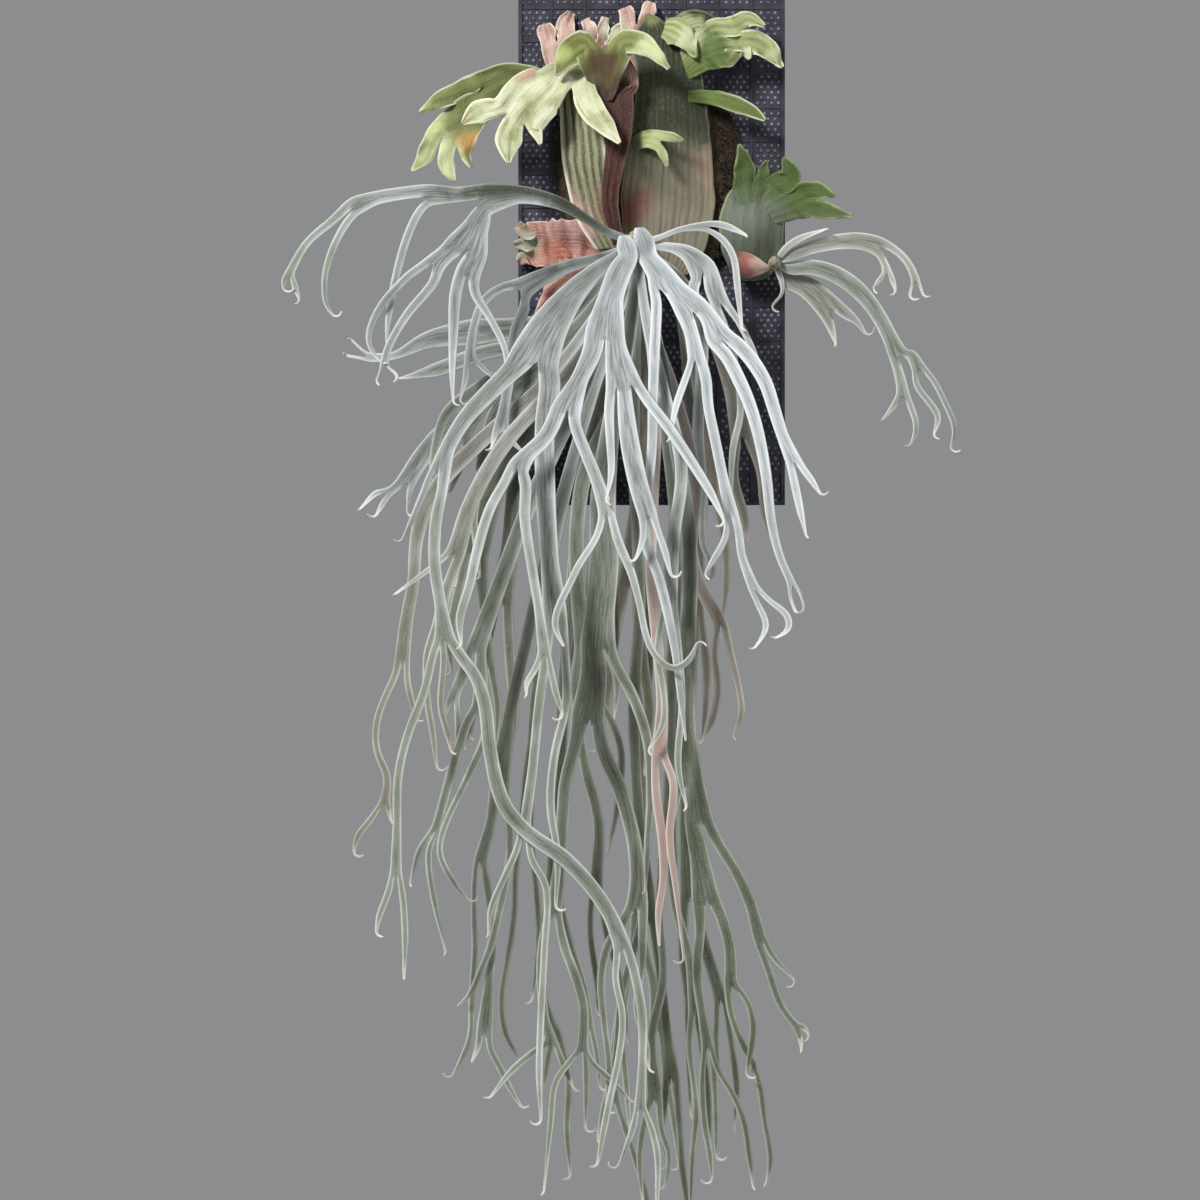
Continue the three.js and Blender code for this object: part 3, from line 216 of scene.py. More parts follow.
def stations_along(branch, start, step):
    """The places where a branch is drawn across, from its start to its tip or fork."""
    marks = [item for item in branch if is_point(item)]
    fork_width = sum(FORK_FLARE * usual_width(limb) for limb in limbs_of(branch))
    places = [start.centre]
    widths = [start.width]
    for i, mark in enumerate(marks):
        at_end = i == len(marks) - 1
        plain = (fork_width or TIP_WIDTH) if at_end else usual_width(branch)
        places.append(on_board(*mark[:2]))
        widths.append(mark[2] if len(mark) > 2 else plain)
    last = len(places) - 1
    headings = [(places[min(last, i + 1)] - places[max(0, i - 1)]).normalized() for i in range(last + 1)]
    headings[0] = (headings[0] + start.heading * KEEP_HEADING).normalized()
    stations = []
    along = start.along
    for i in range(1, last + 1):
        length = (places[i] - places[i - 1]).length
        near = places[i - 1] + headings[i - 1] * (length / 3)
        far = places[i] - headings[i] * (length / 3)
        steps = max(1, round(length / step))
        for k in range(1, steps + 1):
            t = k / steps
            s = 1 - t
            centre = places[i - 1] * s**3 + near * 3 * s * s * t + far * 3 * s * t * t + places[i] * t**3
            heading = (near - places[i - 1]) * s * s + (far - near) * 2 * s * t + (places[i] - far) * t * t
            along += length / steps
            width = mix(widths[i - 1], widths[i], t)
            stations.append(Station(centre, heading.normalized(), width, (i - 1 + t) / last, along))
    return stations


def hooked(last, spot):
    """The stations of the small hook that a frond's tip ends in."""
    turn = math.radians(mix(HOOK["least"], HOOK["most"], abs(spot))) * (1 if spot > 0 else -1)
    stride = abs(turn) * HOOK["radius"] / HOOK["steps"]
    bend = Matrix.Rotation(turn / HOOK["steps"], 2)
    centre, heading = last.centre, last.heading
    stations = []
    for k in range(1, HOOK["steps"] + 1):
        t = k / HOOK["steps"]
        heading = (bend @ heading).normalized()
        centre = centre + heading * stride
        width = mix(TIP_WIDTH, HOOK["end_width"], t)
        stations.append(Station(centre, heading, width, 1, last.along + k * stride, HOOK["nearer"] * t * t))
    return stations


def even_cuts(count):
    return [i / count for i in range(count + 1)]


@dataclass
class Share:
    limb: list
    start: float
    width: float
    lanes: int


def share_out(branch, end, lanes):
    """The limbs of a fork from one edge to the other, each with its share of the row."""
    side = Vector((-end.heading.y, end.heading.x))

    def sideways(limb):
        return (on_board(*limb[0][:2]) - end.centre).normalized().dot(side)
    limbs = sorted(limbs_of(branch), key=sideways)
    total = sum(usual_width(limb) for limb in limbs)
    tips = sum(tips_of(limb) for limb in limbs)
    shares = []
    edge = 0
    for limb in limbs:
        width = usual_width(limb) / total
        shares.append(Share(limb, edge, width, lanes * tips_of(limb) // tips))
        edge += width
    return shares


@dataclass
class Form:
    """What a blade adds to the depth rule that it lies on. Heights are in mm."""
    cup: float = 0  # how far its edges rise, as a share of its half width
    round_stalk: float = 0  # how far its stalk's middle rises, as such a share
    pleats: float = 0  # how many folds lie side by side
    pleat: float = 0
    ruffle: float = 0
    ruffle_step: float = 14  # the length along it for each radian of its waves
    ruffle_middle: float = 0.25  # the share of the waves that its middle has
    ragged: float = 0  # how far its edges are torn


class Blade:
    """A thin sheet that grows by extruding its last row of edges."""

    def __init__(self, depth_at, step, hangs, **form):
        self.mesh = bmesh.new()
        self.lie = self.mesh.verts.layers.float_vector.new("lie")
        self.look = self.mesh.verts.layers.float_vector.new("look")
        self.depth_at = depth_at
        self.step = step
        self.hangs = hangs
        self.form = Form(**form)
        self.last_row = None

    def first_row(self, centre, heading, width, lanes):
        station = Station(centre, heading, width, 0, 0)
        row = [self.mesh.verts.new((0, 0, 0)) for _ in range(lanes + 1)]
        for pair in zip(row, row[1:]):
            self.mesh.edges.new(pair)
        self.lay(row, station, even_cuts(lanes), Start(row, centre, heading, width), FAR_FROM_TIP, 0)
        return row

    def draw_out(self, row):
        """The next row of points, in the same order as the last."""
        edges = [self.mesh.edges.get(pair) for pair in zip(row, row[1:])]
        made = bmesh.ops.extrude_edge_only(self.mesh, edges=edges)
        new = {item for item in made["geom"] if isinstance(item, bmesh.types.BMVert)}
        found = []
        for corner in row:
            found.append(next(e.other_vert(corner) for e in corner.link_edges if e.other_vert(corner) in new))
        return found

    def relief(self, station, half, across, cut, settle):
        """How far the blade's own form brings a point forwards."""
        form = self.form
        square = across * across
        stalk = ease(max(0, 1 - station.along / STALK_ROUND))
        drift_place = Vector((station.along / RUFFLE["drift_length"], across, RUFFLE["drift_slice"]))
        drift = RUFFLE["drift"] * noise.noise(drift_place)
        wave = math.sin(station.along / form.ruffle_step + RUFFLE["slant"] * across + drift)
        return (
            form.cup * min(half, CHANNEL) * (square - CHANNEL_LEVEL) * settle
            + form.round_stalk * half * (1 - square) * stalk
            + form.pleat * math.sin(2 * math.pi * form.pleats * cut) * settle
            + form.ruffle * wave * mix(form.ruffle_middle, 1, square) * settle
        )

    def lay(self, row, station, cuts, start, from_tip, first_vein):
        """Puts a row of points in place across a station and notes how the blade looks there."""
        side = Vector((-station.heading.y, station.heading.x))
        half = station.width / 2
        tilt = clamp(start.tilt, -STEEPEST * half, STEEPEST * half)
        flat = math.sqrt(half * half - tilt * tilt)
        settle = min(1, station.along / SETTLE)
        for i, (corner, cut) in enumerate(zip(row, cuts)):
            across = 2 * cut - 1
            tear_place = (station.along / TEAR["along"], TEAR["across"] * across, TEAR["level"] * start.level)
            tear = self.form.ragged * noise.noise(Vector(tear_place)) * abs(across) ** 3 * settle
            x = station.centre.x + side.x * across * (flat + tear)
            z = station.centre.y + side.y * across * (flat + tear)
            ripple_place = (x / RIPPLE["across"], z / RIPPLE["across"], station.along / RIPPLE["along"])
            depth = self.depth_at(x, z) + start.lift + tilt * across + station.nearer
            depth += self.relief(station, half, across, cut, settle)
            depth += RIPPLE["height"] * noise.noise(Vector(ripple_place)) * settle
            corner.co = (x, -depth, z)
            corner[self.lie] = (first_vein + i, station.along, half * (1 - abs(across)))
            corner[self.look] = (start.tone, start.blush, from_tip)

    def grow(self, branch, start, first_vein=0):
        """Draws the blade out along a branch and its limbs. Gives the row where the branch ends."""
        stations = stations_along(branch, start, self.step)
        end = stations[-1]
        lanes = len(start.row) - 1
        shares = share_out(branch, end, lanes)
        spot = scatter(end.centre.x, end.centre.y)
        odd = scatter(end.centre.y, end.centre.x)
        if self.hangs and not shares:
            stations += hooked(end, odd)
            end = stations[-1]
        lean = EDGE_TILT * spot if self.hangs else 0
        tone = start.tone + TONE_SPREAD * odd
        blush = start.blush
        fork_cuts = []
        for share in shares:
            fork_cuts += [share.start + cut * share.width for cut in even_cuts(share.lanes)[:-1]]
        fork_cuts.append(1)
        row = start.row
        for station in stations:
            t = ease(station.progress)
            here = replace(
                start,
                tilt=mix(start.tilt, lean, t),
                lift=mix(start.lift_before, start.lift, ease(min(1, 2 * station.progress))),
                tone=mix(start.tone, tone, t),
                blush=mix(start.blush, blush, t),
            )
            cuts = even_cuts(lanes)
            if shares:
                cuts = [mix(a, b, t) for a, b in zip(cuts, fork_cuts)]
            from_tip = FAR_FROM_TIP if shares else end.along - station.along
            row = self.draw_out(row)
            self.lay(row, station, cuts, here, from_tip, first_vein)
        side = Vector((-end.heading.y, end.heading.x))
        first = 0
        for i, share in enumerate(shares):
            spread = LIMB_SPREAD * LIMB_FADE**start.level if self.hangs else 0
            nearer = share.limb[0][3] if len(share.limb[0]) > 3 else 0
            middle = share.start + share.width / 2 - 0.5
            self.grow(share.limb, Start(
                row=row[first:first + share.lanes + 1],
                centre=end.centre + side * (middle * end.width),
                heading=end.heading,
                width=share.width * end.width,
                tilt=lean,
                lift_before=start.lift,
                lift=start.lift + spread * (2 * i + 1 - len(shares)) + nearer,
                level=start.level + 1,
                along=end.along,
                tone=tone,
                blush=blush,
            ), first_vein + first)
            first += share.lanes
        return row


def finish_piece(name, mesh, material, stands_for=(), thickness=None, levels=1):
    """A mesh in millimetres made an object that rides on the frame."""
    bmesh.ops.scale(mesh, vec=(MM, MM, MM), verts=mesh.verts)
    bmesh.ops.recalc_face_normals(mesh, faces=mesh.faces)
    for face in mesh.faces:
        face.smooth = True
    data = bpy.data.meshes.new(name)
    mesh.to_mesh(data)
    mesh.free()
    piece = bpy.data.objects.new(name, data)
    bpy.context.scene.collection.objects.link(piece)
    data.materials.append(material)
    if thickness:
        wall = piece.modifiers.new("wall", "SOLIDIFY")
        wall.thickness = thickness * MM
        wall.offset = 0
    if levels:
        curve = piece.modifiers.new("curve", "SUBSURF")
        curve.levels = levels
        curve.render_levels = levels
    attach(piece, BODY)
    if stands_for:
        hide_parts(*stands_for)
    return piece


# ---- Shader maths ----
class Value:
    """A socket of a material's nodes. Arithmetic on it adds Math nodes."""

    def __init__(self, paint, socket):
        self.paint = paint
        self.socket = socket

    def maths(self, operation, *values):
        return self.paint.node("ShaderNodeMath", {"operation": operation}, list(values))

    def __add__(self, other):
        return self.maths("ADD", self, other)

    __radd__ = __add__

    def __sub__(self, other):
        return self.maths("SUBTRACT", self, other)

    def __rsub__(self, other):
        return self.maths("SUBTRACT", other, self)

    def __mul__(self, other):
        return self.maths("MULTIPLY", self, other)

    __rmul__ = __mul__

    def __truediv__(self, other):
        return self.maths("DIVIDE", self, other)

    def __pow__(self, power):
        return self.maths("POWER", self, power)

    def sine(self):
        return self.maths("SINE", self)


def rgb(red, green, blue):
    """A colour as it looks on screen, 0 to 255, made linear for the shader."""
    return tuple(((c / 255 + 0.055) / 1.055) ** 2.4 for c in (red, green, blue)) + (1,)


class Paint:
    """A material under construction."""

    def __init__(self, name, **shader):
        self.material = bpy.data.materials.new(name)
        self.material.use_nodes = True
        self.nodes = self.material.node_tree.nodes
        self.shader = self.nodes["Principled BSDF"]
        for socket, value in shader.items():
            self.shader.inputs[socket.replace("_", " ").title()].default_value = value

    def node(self, kind, settings=None, inputs=(), output=0):
        node = self.nodes.new(kind)
        for name, value in (settings or {}).items():
            if name == "stops":
                self.stops(node.color_ramp, value)
            else:
                setattr(node, name, value)
        pairs = inputs.items() if isinstance(inputs, dict) else enumerate(inputs)
        for key, value in pairs:
            self.feed(node.inputs[key], value)
        return Value(self, node.outputs[output])

    def stops(self, ramp, stops):
        for i, (place, colour) in enumerate(stops):
            stop = ramp.elements[i] if i < 2 else ramp.elements.new(place)
            stop.position = place
            stop.color = colour

    def feed(self, socket, value):
        if isinstance(value, Value):
            self.material.node_tree.links.new(value.socket, socket)
        else:
            socket.default_value = value

    def finish(self, **links):
        for socket, value in links.items():
            self.feed(self.shader.inputs[socket.replace("_", " ").title()], value)
        return self.material

    def place(self):
        return self.node("ShaderNodeTexCoord", output="Object")

    def parts(self, vector):
        return [self.node("ShaderNodeSeparateXYZ", inputs=[vector], output=i) for i in range(3)]

    def noted(self, name):
        """The three numbers that a blade's points carry under that name."""
        return self.parts(self.node("ShaderNodeAttribute", {"attribute_name": name}, output="Vector"))

    def grain(self, across, along, fineness, detail=4):
        """Streaks that follow a blade."""
        inputs = {"X": across * fineness, "Y": along * 0.035}
        place = self.node("ShaderNodeCombineXYZ", inputs=inputs)
        return self.node("ShaderNodeTexNoise", inputs={"Vector": place, "Scale": 1, "Detail": detail})

    def noise(self, scale, detail=3, stretch=(1, 1, 1)):
        place = self.node("ShaderNodeMapping", inputs={"Vector": self.place(), "Scale": stretch})
        inputs = {"Vector": place, "Scale": scale, "Detail": detail}
        return self.node("ShaderNodeTexNoise", inputs=inputs, output=0)

    def ramp(self, value, stops):
        return self.node("ShaderNodeValToRGB", {"stops": stops}, [value])

    def blend(self, first, second, amount, kind="MIX"):
        settings = {"data_type": "RGBA", "blend_type": kind}
        return self.node("ShaderNodeMix", settings, {0: amount, 6: first, 7: second}, output=2)

    def rise(self, value, low, high, start=0, end=1):
        """Goes smoothly from start to end as a value goes from low to high."""
        settings = {"interpolation_type": "SMOOTHSTEP"}
        return self.node("ShaderNodeMapRange", settings, [value, low, high, start, end])

    def on_front(self):
        """How far right of and above the board's centre a point lies, in mm."""
        x, _, z = self.parts(self.place())
        return x / MM, z / MM

    def near(self, across, down, radius):
        """1 at a place of the drawing sheet, fading to 0 at a radius in mm."""
        spot = on_board(across, down)
        x, z = self.on_front()
        away = ((x - spot.x) ** 2 + (z - spot.y) ** 2) ** 0.5
        ragged = away + (self.noise(70) - 0.5) * radius
        return self.rise(ragged, radius * 0.35, radius, 1, 0)

    def stain(self, colour, spots):
        """Each spot is [across, down, radius, colour, strength] on the drawing sheet."""
        for across, down, radius, tint, strength in spots:
            colour = self.blend(colour, tint, self.near(across, down, radius) * strength)
        return colour

    def bump(self, height, distance, strength=0.6):
        inputs = {"Strength": strength, "Distance": distance * MM, "Height": height}
        return self.node("ShaderNodeBump", inputs=inputs)


# ---- Finishes ----
def frond_paint(name, silver, middle, deep):
    """Felted frond: silver near the crown, greener lower down, with painted shade in its channel and pale rims
    that are partly a painted highlight.
    """
    paint = Paint(name, sheen_weight=0.2, sheen_roughness=0.5)
    vein, along, edge = paint.noted("lie")
    tone, blush, tip = paint.noted("look")
    mottle = paint.noise(24, 5)
    fleck = paint.noise(600, 3)
    streak = paint.grain(vein, along, 1.7)
    green = tone * 0.55 + paint.rise(along, 90, 620) * 0.34 + (mottle - 0.5) * 0.7
    colour = paint.ramp(green, [(0, silver), (0.5, middle), (1, deep)])
    # The upper side of the left arch is dark olive along its bend and at its foot: partly its own colour,
    # partly painted shade near the crown.
    upper_side = paint.rise(vein, 4, 13, 1, 0)
    olive_and_shade = paint.near(520, 196, 96) * upper_side * 0.85
    olive_and_shade = olive_and_shade + paint.near(582, 212, 48) * (1 - olive_and_shade) * 0.85
    colour = paint.blend(colour, rgb(58, 66, 38), olive_and_shade)
    # Painted shade: the middle of the blade, between its rims, is darkened as if shaded in its channel.
    shade = paint.blend(colour, rgb(92, 100, 84), 0.8, "MULTIPLY")
    channel_shade = paint.rise(edge, 0.8, 7) * (0.3 + paint.rise(streak, 0.35, 0.65) * 0.6)
    colour = paint.blend(colour, shade, channel_shade)
    colour = paint.blend(colour, rgb(200, 158, 150), blush * (0.5 + streak * 0.4))
    # The pale rims are partly the felt's own pale edge and partly a painted highlight along the edges.
    rim = paint.rise(edge + (mottle - 0.5) * 3, 0.2, 2.4, 1, 0)
    colour = paint.blend(colour, rgb(214, 218, 212), rim * (0.62 - tone * 0.3) * (1 - olive_and_shade * 0.7))
    colour = paint.blend(colour, rgb(214, 206, 196), paint.rise(tip, 4, 24, 0.7, 0))
    colour = paint.blend(colour, rgb(226, 232, 230), paint.rise(fleck, 0.5, 0.8) * 0.12)
    relief = streak * 1.4 + fleck * 0.5 + mottle * 0.6
    return paint.finish(base_color=colour, roughness=0.6 + fleck * 0.25, normal=paint.bump(relief, 0.6))

def shield_paint(
    name, low, high, low_z, high_z, edge_colour, spots=(), pleat_lanes=4.4, valley_shade=0.5, rim=0.75,
):
    """A shield frond: two colours by height, ribs along it with painted shade in the valleys between them,
    pale edges and its own stains.
    """
    paint = Paint(name, sheen_weight=0.15, sheen_roughness=0.5)
    vein, along, edge = paint.noted("lie")
    _, z = paint.on_front()
    mottle = paint.noise(30, 5, (1, 1, 0.6))
    fuzz = paint.noise(480, 4, (1, 1, 0.5))
    streak = paint.grain(vein, along, 2.2)
    height = paint.rise(z + (mottle - 0.5) * 60, low_z, high_z)
    turn = vein * (2 * math.pi / pleat_lanes) + (mottle - 0.5) * 5
    rib = paint.rise(turn.sine(), -1, 1)
    colour = paint.blend(low, high, height)
    # Painted shade in the valleys between the ribs, more so higher up, with darker streaks along the blade.
    shade = paint.blend(colour, rgb(88, 92, 58), 0.8, "MULTIPLY")
    shadow = (1 - rib) * valley_shade * (0.3 + height * 0.7) + paint.rise(streak, 0.5, 0.72) * 0.4
    colour = paint.blend(colour, shade, shadow)
    colour = paint.blend(colour, rgb(200, 202, 176), paint.rise(fuzz, 0.52, 0.75) * 0.1)
    colour = paint.stain(colour, spots)
    pale = paint.rise(edge + (mottle - 0.5) * 4, 0.4, 3.2, rim, 0) * paint.rise(along, 22, 60)
    colour = paint.blend(colour, edge_colour, pale)
    relief = rib * 0.6 + streak * 1.2 + fuzz * 0.8 + mottle * 1.5
    return paint.finish(base_color=colour, roughness=0.58 + fuzz * 0.3, normal=paint.bump(relief, 1.0))


FLAP_LANES, FLAP_PLEATS = 24, 5.5
FLAP_FOLDS = (176, 214)  # the left shield turns from clasping to folded over between these lengths


def flap_paint():
    """The left shield: pleated and green-grey where it clasps the mound, with painted highlight on the pleats'
    ridges and painted shade in their valleys, cream-green where it folds over.
    """
    paint = Paint("shield_left_green", sheen_weight=0.15, sheen_roughness=0.5)
    vein, along, edge = paint.noted("lie")
    mottle = paint.noise(34, 5)
    fuzz = paint.noise(480, 4)
    streak = paint.grain(vein, along, 2.2)
    turn = vein * (2 * math.pi * FLAP_PLEATS / FLAP_LANES) + (mottle - 0.5) * 6
    # The clasp's pleats are painted: ridges lighter as a painted highlight, valleys darker as painted shade.
    rib = paint.rise(turn.sine(), -1, 0.8) * (0.55 + streak * 0.9)
    clasp = paint.blend(rgb(84, 84, 56), rgb(138, 137, 104), rib)
    clasp = paint.stain(clasp, [
        (618, 200, 34, rgb(126, 74, 62), 0.85), (566, 216, 40, rgb(198, 150, 152), 0.85),
    ])
    folded = paint.ramp(mottle, [
        (0.35, rgb(138, 142, 96)), (0.5, rgb(176, 179, 140)), (0.64, rgb(198, 199, 168)),
    ])
    folded = paint.blend(folded, rgb(112, 120, 62), paint.rise(streak, 0.48, 0.7) * 0.6)
    folded = paint.stain(folded, [
        (522, 62, 16, rgb(180, 122, 108), 0.65), (464, 122, 12, rgb(190, 134, 66), 0.6),
    ])
    colour = paint.blend(clasp, folded, paint.rise(along, *FLAP_FOLDS))
    colour = paint.blend(colour, rgb(224, 226, 204), paint.rise(fuzz, 0.52, 0.75) * 0.25)
    colour = paint.blend(colour, rgb(226, 226, 200), paint.rise(edge + (mottle - 0.5) * 3, 0.4, 4, 0.85, 0))
    relief = streak * 1.6 + fuzz * 0.7 + mottle * 2
    return paint.finish(base_color=colour, roughness=0.5 + fuzz * 0.3, normal=paint.bump(relief, 1.0))


def husk_paint(name, light, dark, tinge, rim=0.7, spots=(), powder=0.3):
    """A dry old shield: papery, creased and stained."""
    paint = Paint(name)
    vein, along, edge = paint.noted("lie")
    crease = paint.noise(46, 6, (1, 1, 0.5))
    streak = paint.grain(vein, along, 1.3)
    dust = paint.noise(420, 4)
    colour = paint.ramp(crease * 0.75 + streak * 0.25, [(0.36, dark), (0.5, light), (0.64, tinge)])
    colour = paint.stain(colour, spots)
    colour = paint.blend(colour, rgb(232, 214, 200), paint.rise(dust, 0.52, 0.72) * powder)
    colour = paint.blend(colour, rgb(232, 216, 200), paint.rise(edge, 0.3, 2.5, rim, 0))
    relief = crease * 2 + streak * 1.5 + dust * 0.5
    return paint.finish(base_color=colour, roughness=0.72 + dust * 0.25, normal=paint.bump(relief, 1.8))


def fibre_paint(name, dark, light, scale=160):
    paint = Paint(name, roughness=0.95)
    clump = paint.noise(scale, 6)
    strand = paint.noise(scale * 6, 3, (1, 1, 0.3))
    colour = paint.ramp(clump * 0.6 + strand * 0.4, [(0.35, dark), (0.65, light)])
    return paint.finish(base_color=colour, normal=paint.bump(clump + strand * 0.5, 2.5))


def board_paint():
    """Dark weathered timber with its grain upright."""
    paint = Paint("weathered_board")
    grain = paint.noise(90, 6, (1, 1, 0.05))
    patch = paint.noise(14, 4)
    colour = paint.ramp(grain, [(0.3, rgb(34, 25, 20)), (0.55, rgb(76, 58, 44)), (0.75, rgb(108, 88, 68))])
    colour = paint.blend(colour, rgb(46, 48, 42), paint.rise(patch, 0.5, 0.7) * 0.5)
    return paint.finish(base_color=colour, roughness=0.65 + grain * 0.3, normal=paint.bump(grain, 1.2))


def net_paint(name, dark, light, worn):
    """Moulded black plastic with grey dust in its relief."""
    paint = Paint(name)
    dust = paint.noise(60, 5)
    scuff = paint.noise(700, 3)
    colour = paint.blend(dark, light, paint.rise(dust + scuff * 0.4, 0.5, 0.95) * worn)
    return paint.finish(base_color=colour, roughness=0.42 + dust * 0.35, normal=paint.bump(scuff, 0.3))


def bud_paint():
    """Brown where it is rooted, then pink, and pale at its tip."""
    paint = Paint("pink_bud", roughness=0.6, sheen_weight=0.2)
    x, z = paint.on_front()
    soft = paint.noise(110, 4)
    along = paint.rise(x + (soft - 0.5) * 14, 80, 118)
    colour = paint.ramp(along, [(0, rgb(92, 50, 42)), (0.5, rgb(158, 100, 88)), (0.95, rgb(212, 188, 174))])
    colour = paint.blend(colour, rgb(110, 84, 60), paint.rise(z, -34, -46) * 0.7)
    return paint.finish(base_color=colour, normal=paint.bump(paint.noise(380, 3), 0.6))


FROND = frond_paint("felted_frond", rgb(190, 195, 198), rgb(134, 140, 127), rgb(82, 89, 64))
YOUNG_FROND = frond_paint("young_frond", rgb(160, 165, 158), rgb(116, 122, 106), rgb(70, 78, 54))
FLAP = flap_paint()
REAR_FLAP = shield_paint(
    "shield_rear_green", rgb(148, 154, 102), rgb(110, 120, 62), 60, 150, rgb(206, 208, 176),
    [(468, 134, 20, rgb(178, 126, 60), 0.8), (440, 150, 30, rgb(204, 208, 160), 0.75),
     (424, 110, 24, rgb(186, 194, 132), 0.7)],
    pleat_lanes=7, valley_shade=0.35,
)
TOP_FLAP = shield_paint(
    "shield_top_green", rgb(60, 34, 26), rgb(122, 130, 66), 142, 184, rgb(208, 210, 182),
    [(604, 58, 24, rgb(78, 52, 36), 0.9), (652, 46, 26, rgb(204, 210, 160), 0.8),
     (560, 44, 14, rgb(176, 184, 110), 0.7)],
    pleat_lanes=3, valley_shade=0.4,
)
MAIN_SHIELD = shield_paint(
    "shield_right_green", rgb(126, 120, 98), rgb(40, 48, 22), 52, 116, rgb(150, 142, 114),
    [(634, 202, 30, rgb(112, 66, 50), 0.9), (712, 158, 30, rgb(150, 128, 108), 0.8),
     (692, 16, 22, rgb(180, 188, 138), 0.8), (652, 6, 12, rgb(140, 150, 90), 0.6),
     (668, 226, 44, rgb(146, 140, 124), 0.6)],
    pleat_lanes=1.72, valley_shade=0.3, rim=0.4,
)
LOBES = shield_paint(
    "shield_right_lobes_green", rgb(92, 110, 42), rgb(160, 168, 114), 172, 212, rgb(216, 220, 190),
    [(660, 138, 30, rgb(168, 174, 122), 1), (734, 96, 40, rgb(88, 106, 42), 1),
     (716, 40, 26, rgb(76, 96, 34), 0.9), (690, 28, 18, rgb(190, 196, 158), 0.7),
     (752, 44, 12, rgb(196, 202, 164), 0.8), (776, 48, 14, rgb(188, 196, 150), 0.6)],
    pleat_lanes=3, valley_shade=0.45,
)
PUP_SHIELD = shield_paint(
    "pup_shield_green", rgb(98, 106, 92), rgb(66, 86, 30), 28, 62, rgb(170, 180, 120),
    [(820, 190, 46, rgb(70, 90, 30), 0.85), (766, 250, 20, rgb(78, 84, 70), 0.6)],
    pleat_lanes=3, valley_shade=0.3, rim=0.5,
)
HUSK_PINK = husk_paint(
    "pink_husk", rgb(172, 122, 108), rgb(116, 62, 48), rgb(188, 152, 144), 0.5,
    [(522, 234, 24, rgb(138, 146, 126), 0.9), (554, 240, 18, rgb(168, 96, 66), 0.6),
     (572, 214, 26, rgb(176, 136, 134), 0.7), (556, 300, 22, rgb(178, 130, 132), 0.6)],
)
HUSK_PALE = husk_paint(
    "pale_husk", rgb(184, 152, 140), rgb(128, 92, 74), rgb(208, 192, 180), 0.7,
    [(614, 14, 20, rgb(176, 182, 152), 0.8), (592, 24, 16, rgb(120, 96, 76), 0.6)],
)
# The maroon fold is painted near-black: its own dry maroon colour darkened with painted shade of the crease
# between the shields, and a dark spot of painted shade in its middle.
HUSK_RED_AND_SHADE = husk_paint(
    "red_husk_and_crease_shade", rgb(66, 32, 24), rgb(38, 18, 14), rgb(88, 48, 36), 0.1,
    [(632, 66, 16, rgb(180, 150, 132), 0.8), (608, 100, 40, rgb(50, 30, 20), 0.75)],
    powder=0.06,
)


# ---- Board, net and moss ----
def paint_node(node, material):
    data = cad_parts[node].data
    data.materials.clear()
    data.materials.append(material)


NET = {"half_width": 132, "half_height": 268, "rib": 34.25, "rib_half": 2.9}
KNOT = {"pitch": 7.2, "row": 5.45, "radius": 2.1, "top": 1.2, "height": 0.9, "sunk": 0.1, "sides": 6}


def off_rib(place):
    """How far a place, across or up the panel, is from the middle of the nearest rib."""
    return abs(place - NET["rib"] * round(place / NET["rib"]))


def net_knots():
    """The knots of the net, in staggered rows between its ribs."""
    mesh = bmesh.new()
    rows = int(2 * NET["half_height"] / KNOT["row"])
    columns = int(2 * NET["half_width"] / KNOT["pitch"])
    out = PANEL_FRONT + KNOT["height"] / 2 - KNOT["sunk"]
    for row in range(rows + 1):
        z = row * KNOT["row"] - NET["half_height"]
        for column in range(columns + 1):
            x = (column + 0.5 * (row % 2)) * KNOT["pitch"] - NET["half_width"]
            if x > NET["half_width"] or min(off_rib(x), off_rib(z)) < NET["rib_half"]:
                continue
            bmesh.ops.create_cone(
                mesh, cap_ends=True, segments=KNOT["sides"], radius1=KNOT["radius"], radius2=KNOT["top"],
                depth=KNOT["height"] + 2 * KNOT["sunk"],
                matrix=Matrix.Translation((x, -out, z)) @ Matrix.Rotation(math.pi / 2, 4, "X"),
            )
    # The knots are painted paler than the panel's black plastic: partly grey dust on their raised tops, partly
    # a painted highlight there.
    paint = net_paint("net_knot_dust_and_highlight", rgb(66, 66, 82), rgb(140, 140, 166), 0.9)
    return finish_piece("net_knots", mesh, paint, levels=0)


TAPER = 0.75  # a strand is this much thinner at its tip


def strand(mesh, foot, way, length, radius, bend, bends=3):
    """A hair or root fibre: a three-sided thread that bends as it goes."""
    turn = way.to_track_quat("Z", "Y").to_matrix().to_4x4()
    matrix = Matrix.Translation(foot) @ turn
    ring = bmesh.ops.create_circle(mesh, cap_ends=True, segments=3, radius=radius, matrix=matrix)["verts"]
    edges = list({e for v in ring for e in v.link_edges})
    centre = foot.copy()
    for k in range(bends):
        made = bmesh.ops.extrude_edge_only(mesh, edges=edges)["geom"]
        ring = [item for item in made if isinstance(item, bmesh.types.BMVert)]
        made_edges = [item for item in made if isinstance(item, bmesh.types.BMEdge)]
        edges = [edge for edge in made_edges if all(v in ring for v in edge.verts)]
        way = (way + bend / bends).normalized()
        stride = way * (length / bends)
        bmesh.ops.translate(mesh, verts=ring, vec=stride)
        centre = centre + stride
        size = (1 - TAPER * (k + 1) / bends) / (1 - TAPER * k / bends)
        bmesh.ops.scale(mesh, verts=ring, vec=(size, size, size), space=Matrix.Translation(-centre))
    bmesh.ops.contextual_create(mesh, geom=edges)


def drawn_face(faces, k, turn, spread):
    """The face that the k-th strand stands on: a steady draw."""
    return faces[int(fraction(math.sin(k * turn) * spread) * len(faces))]


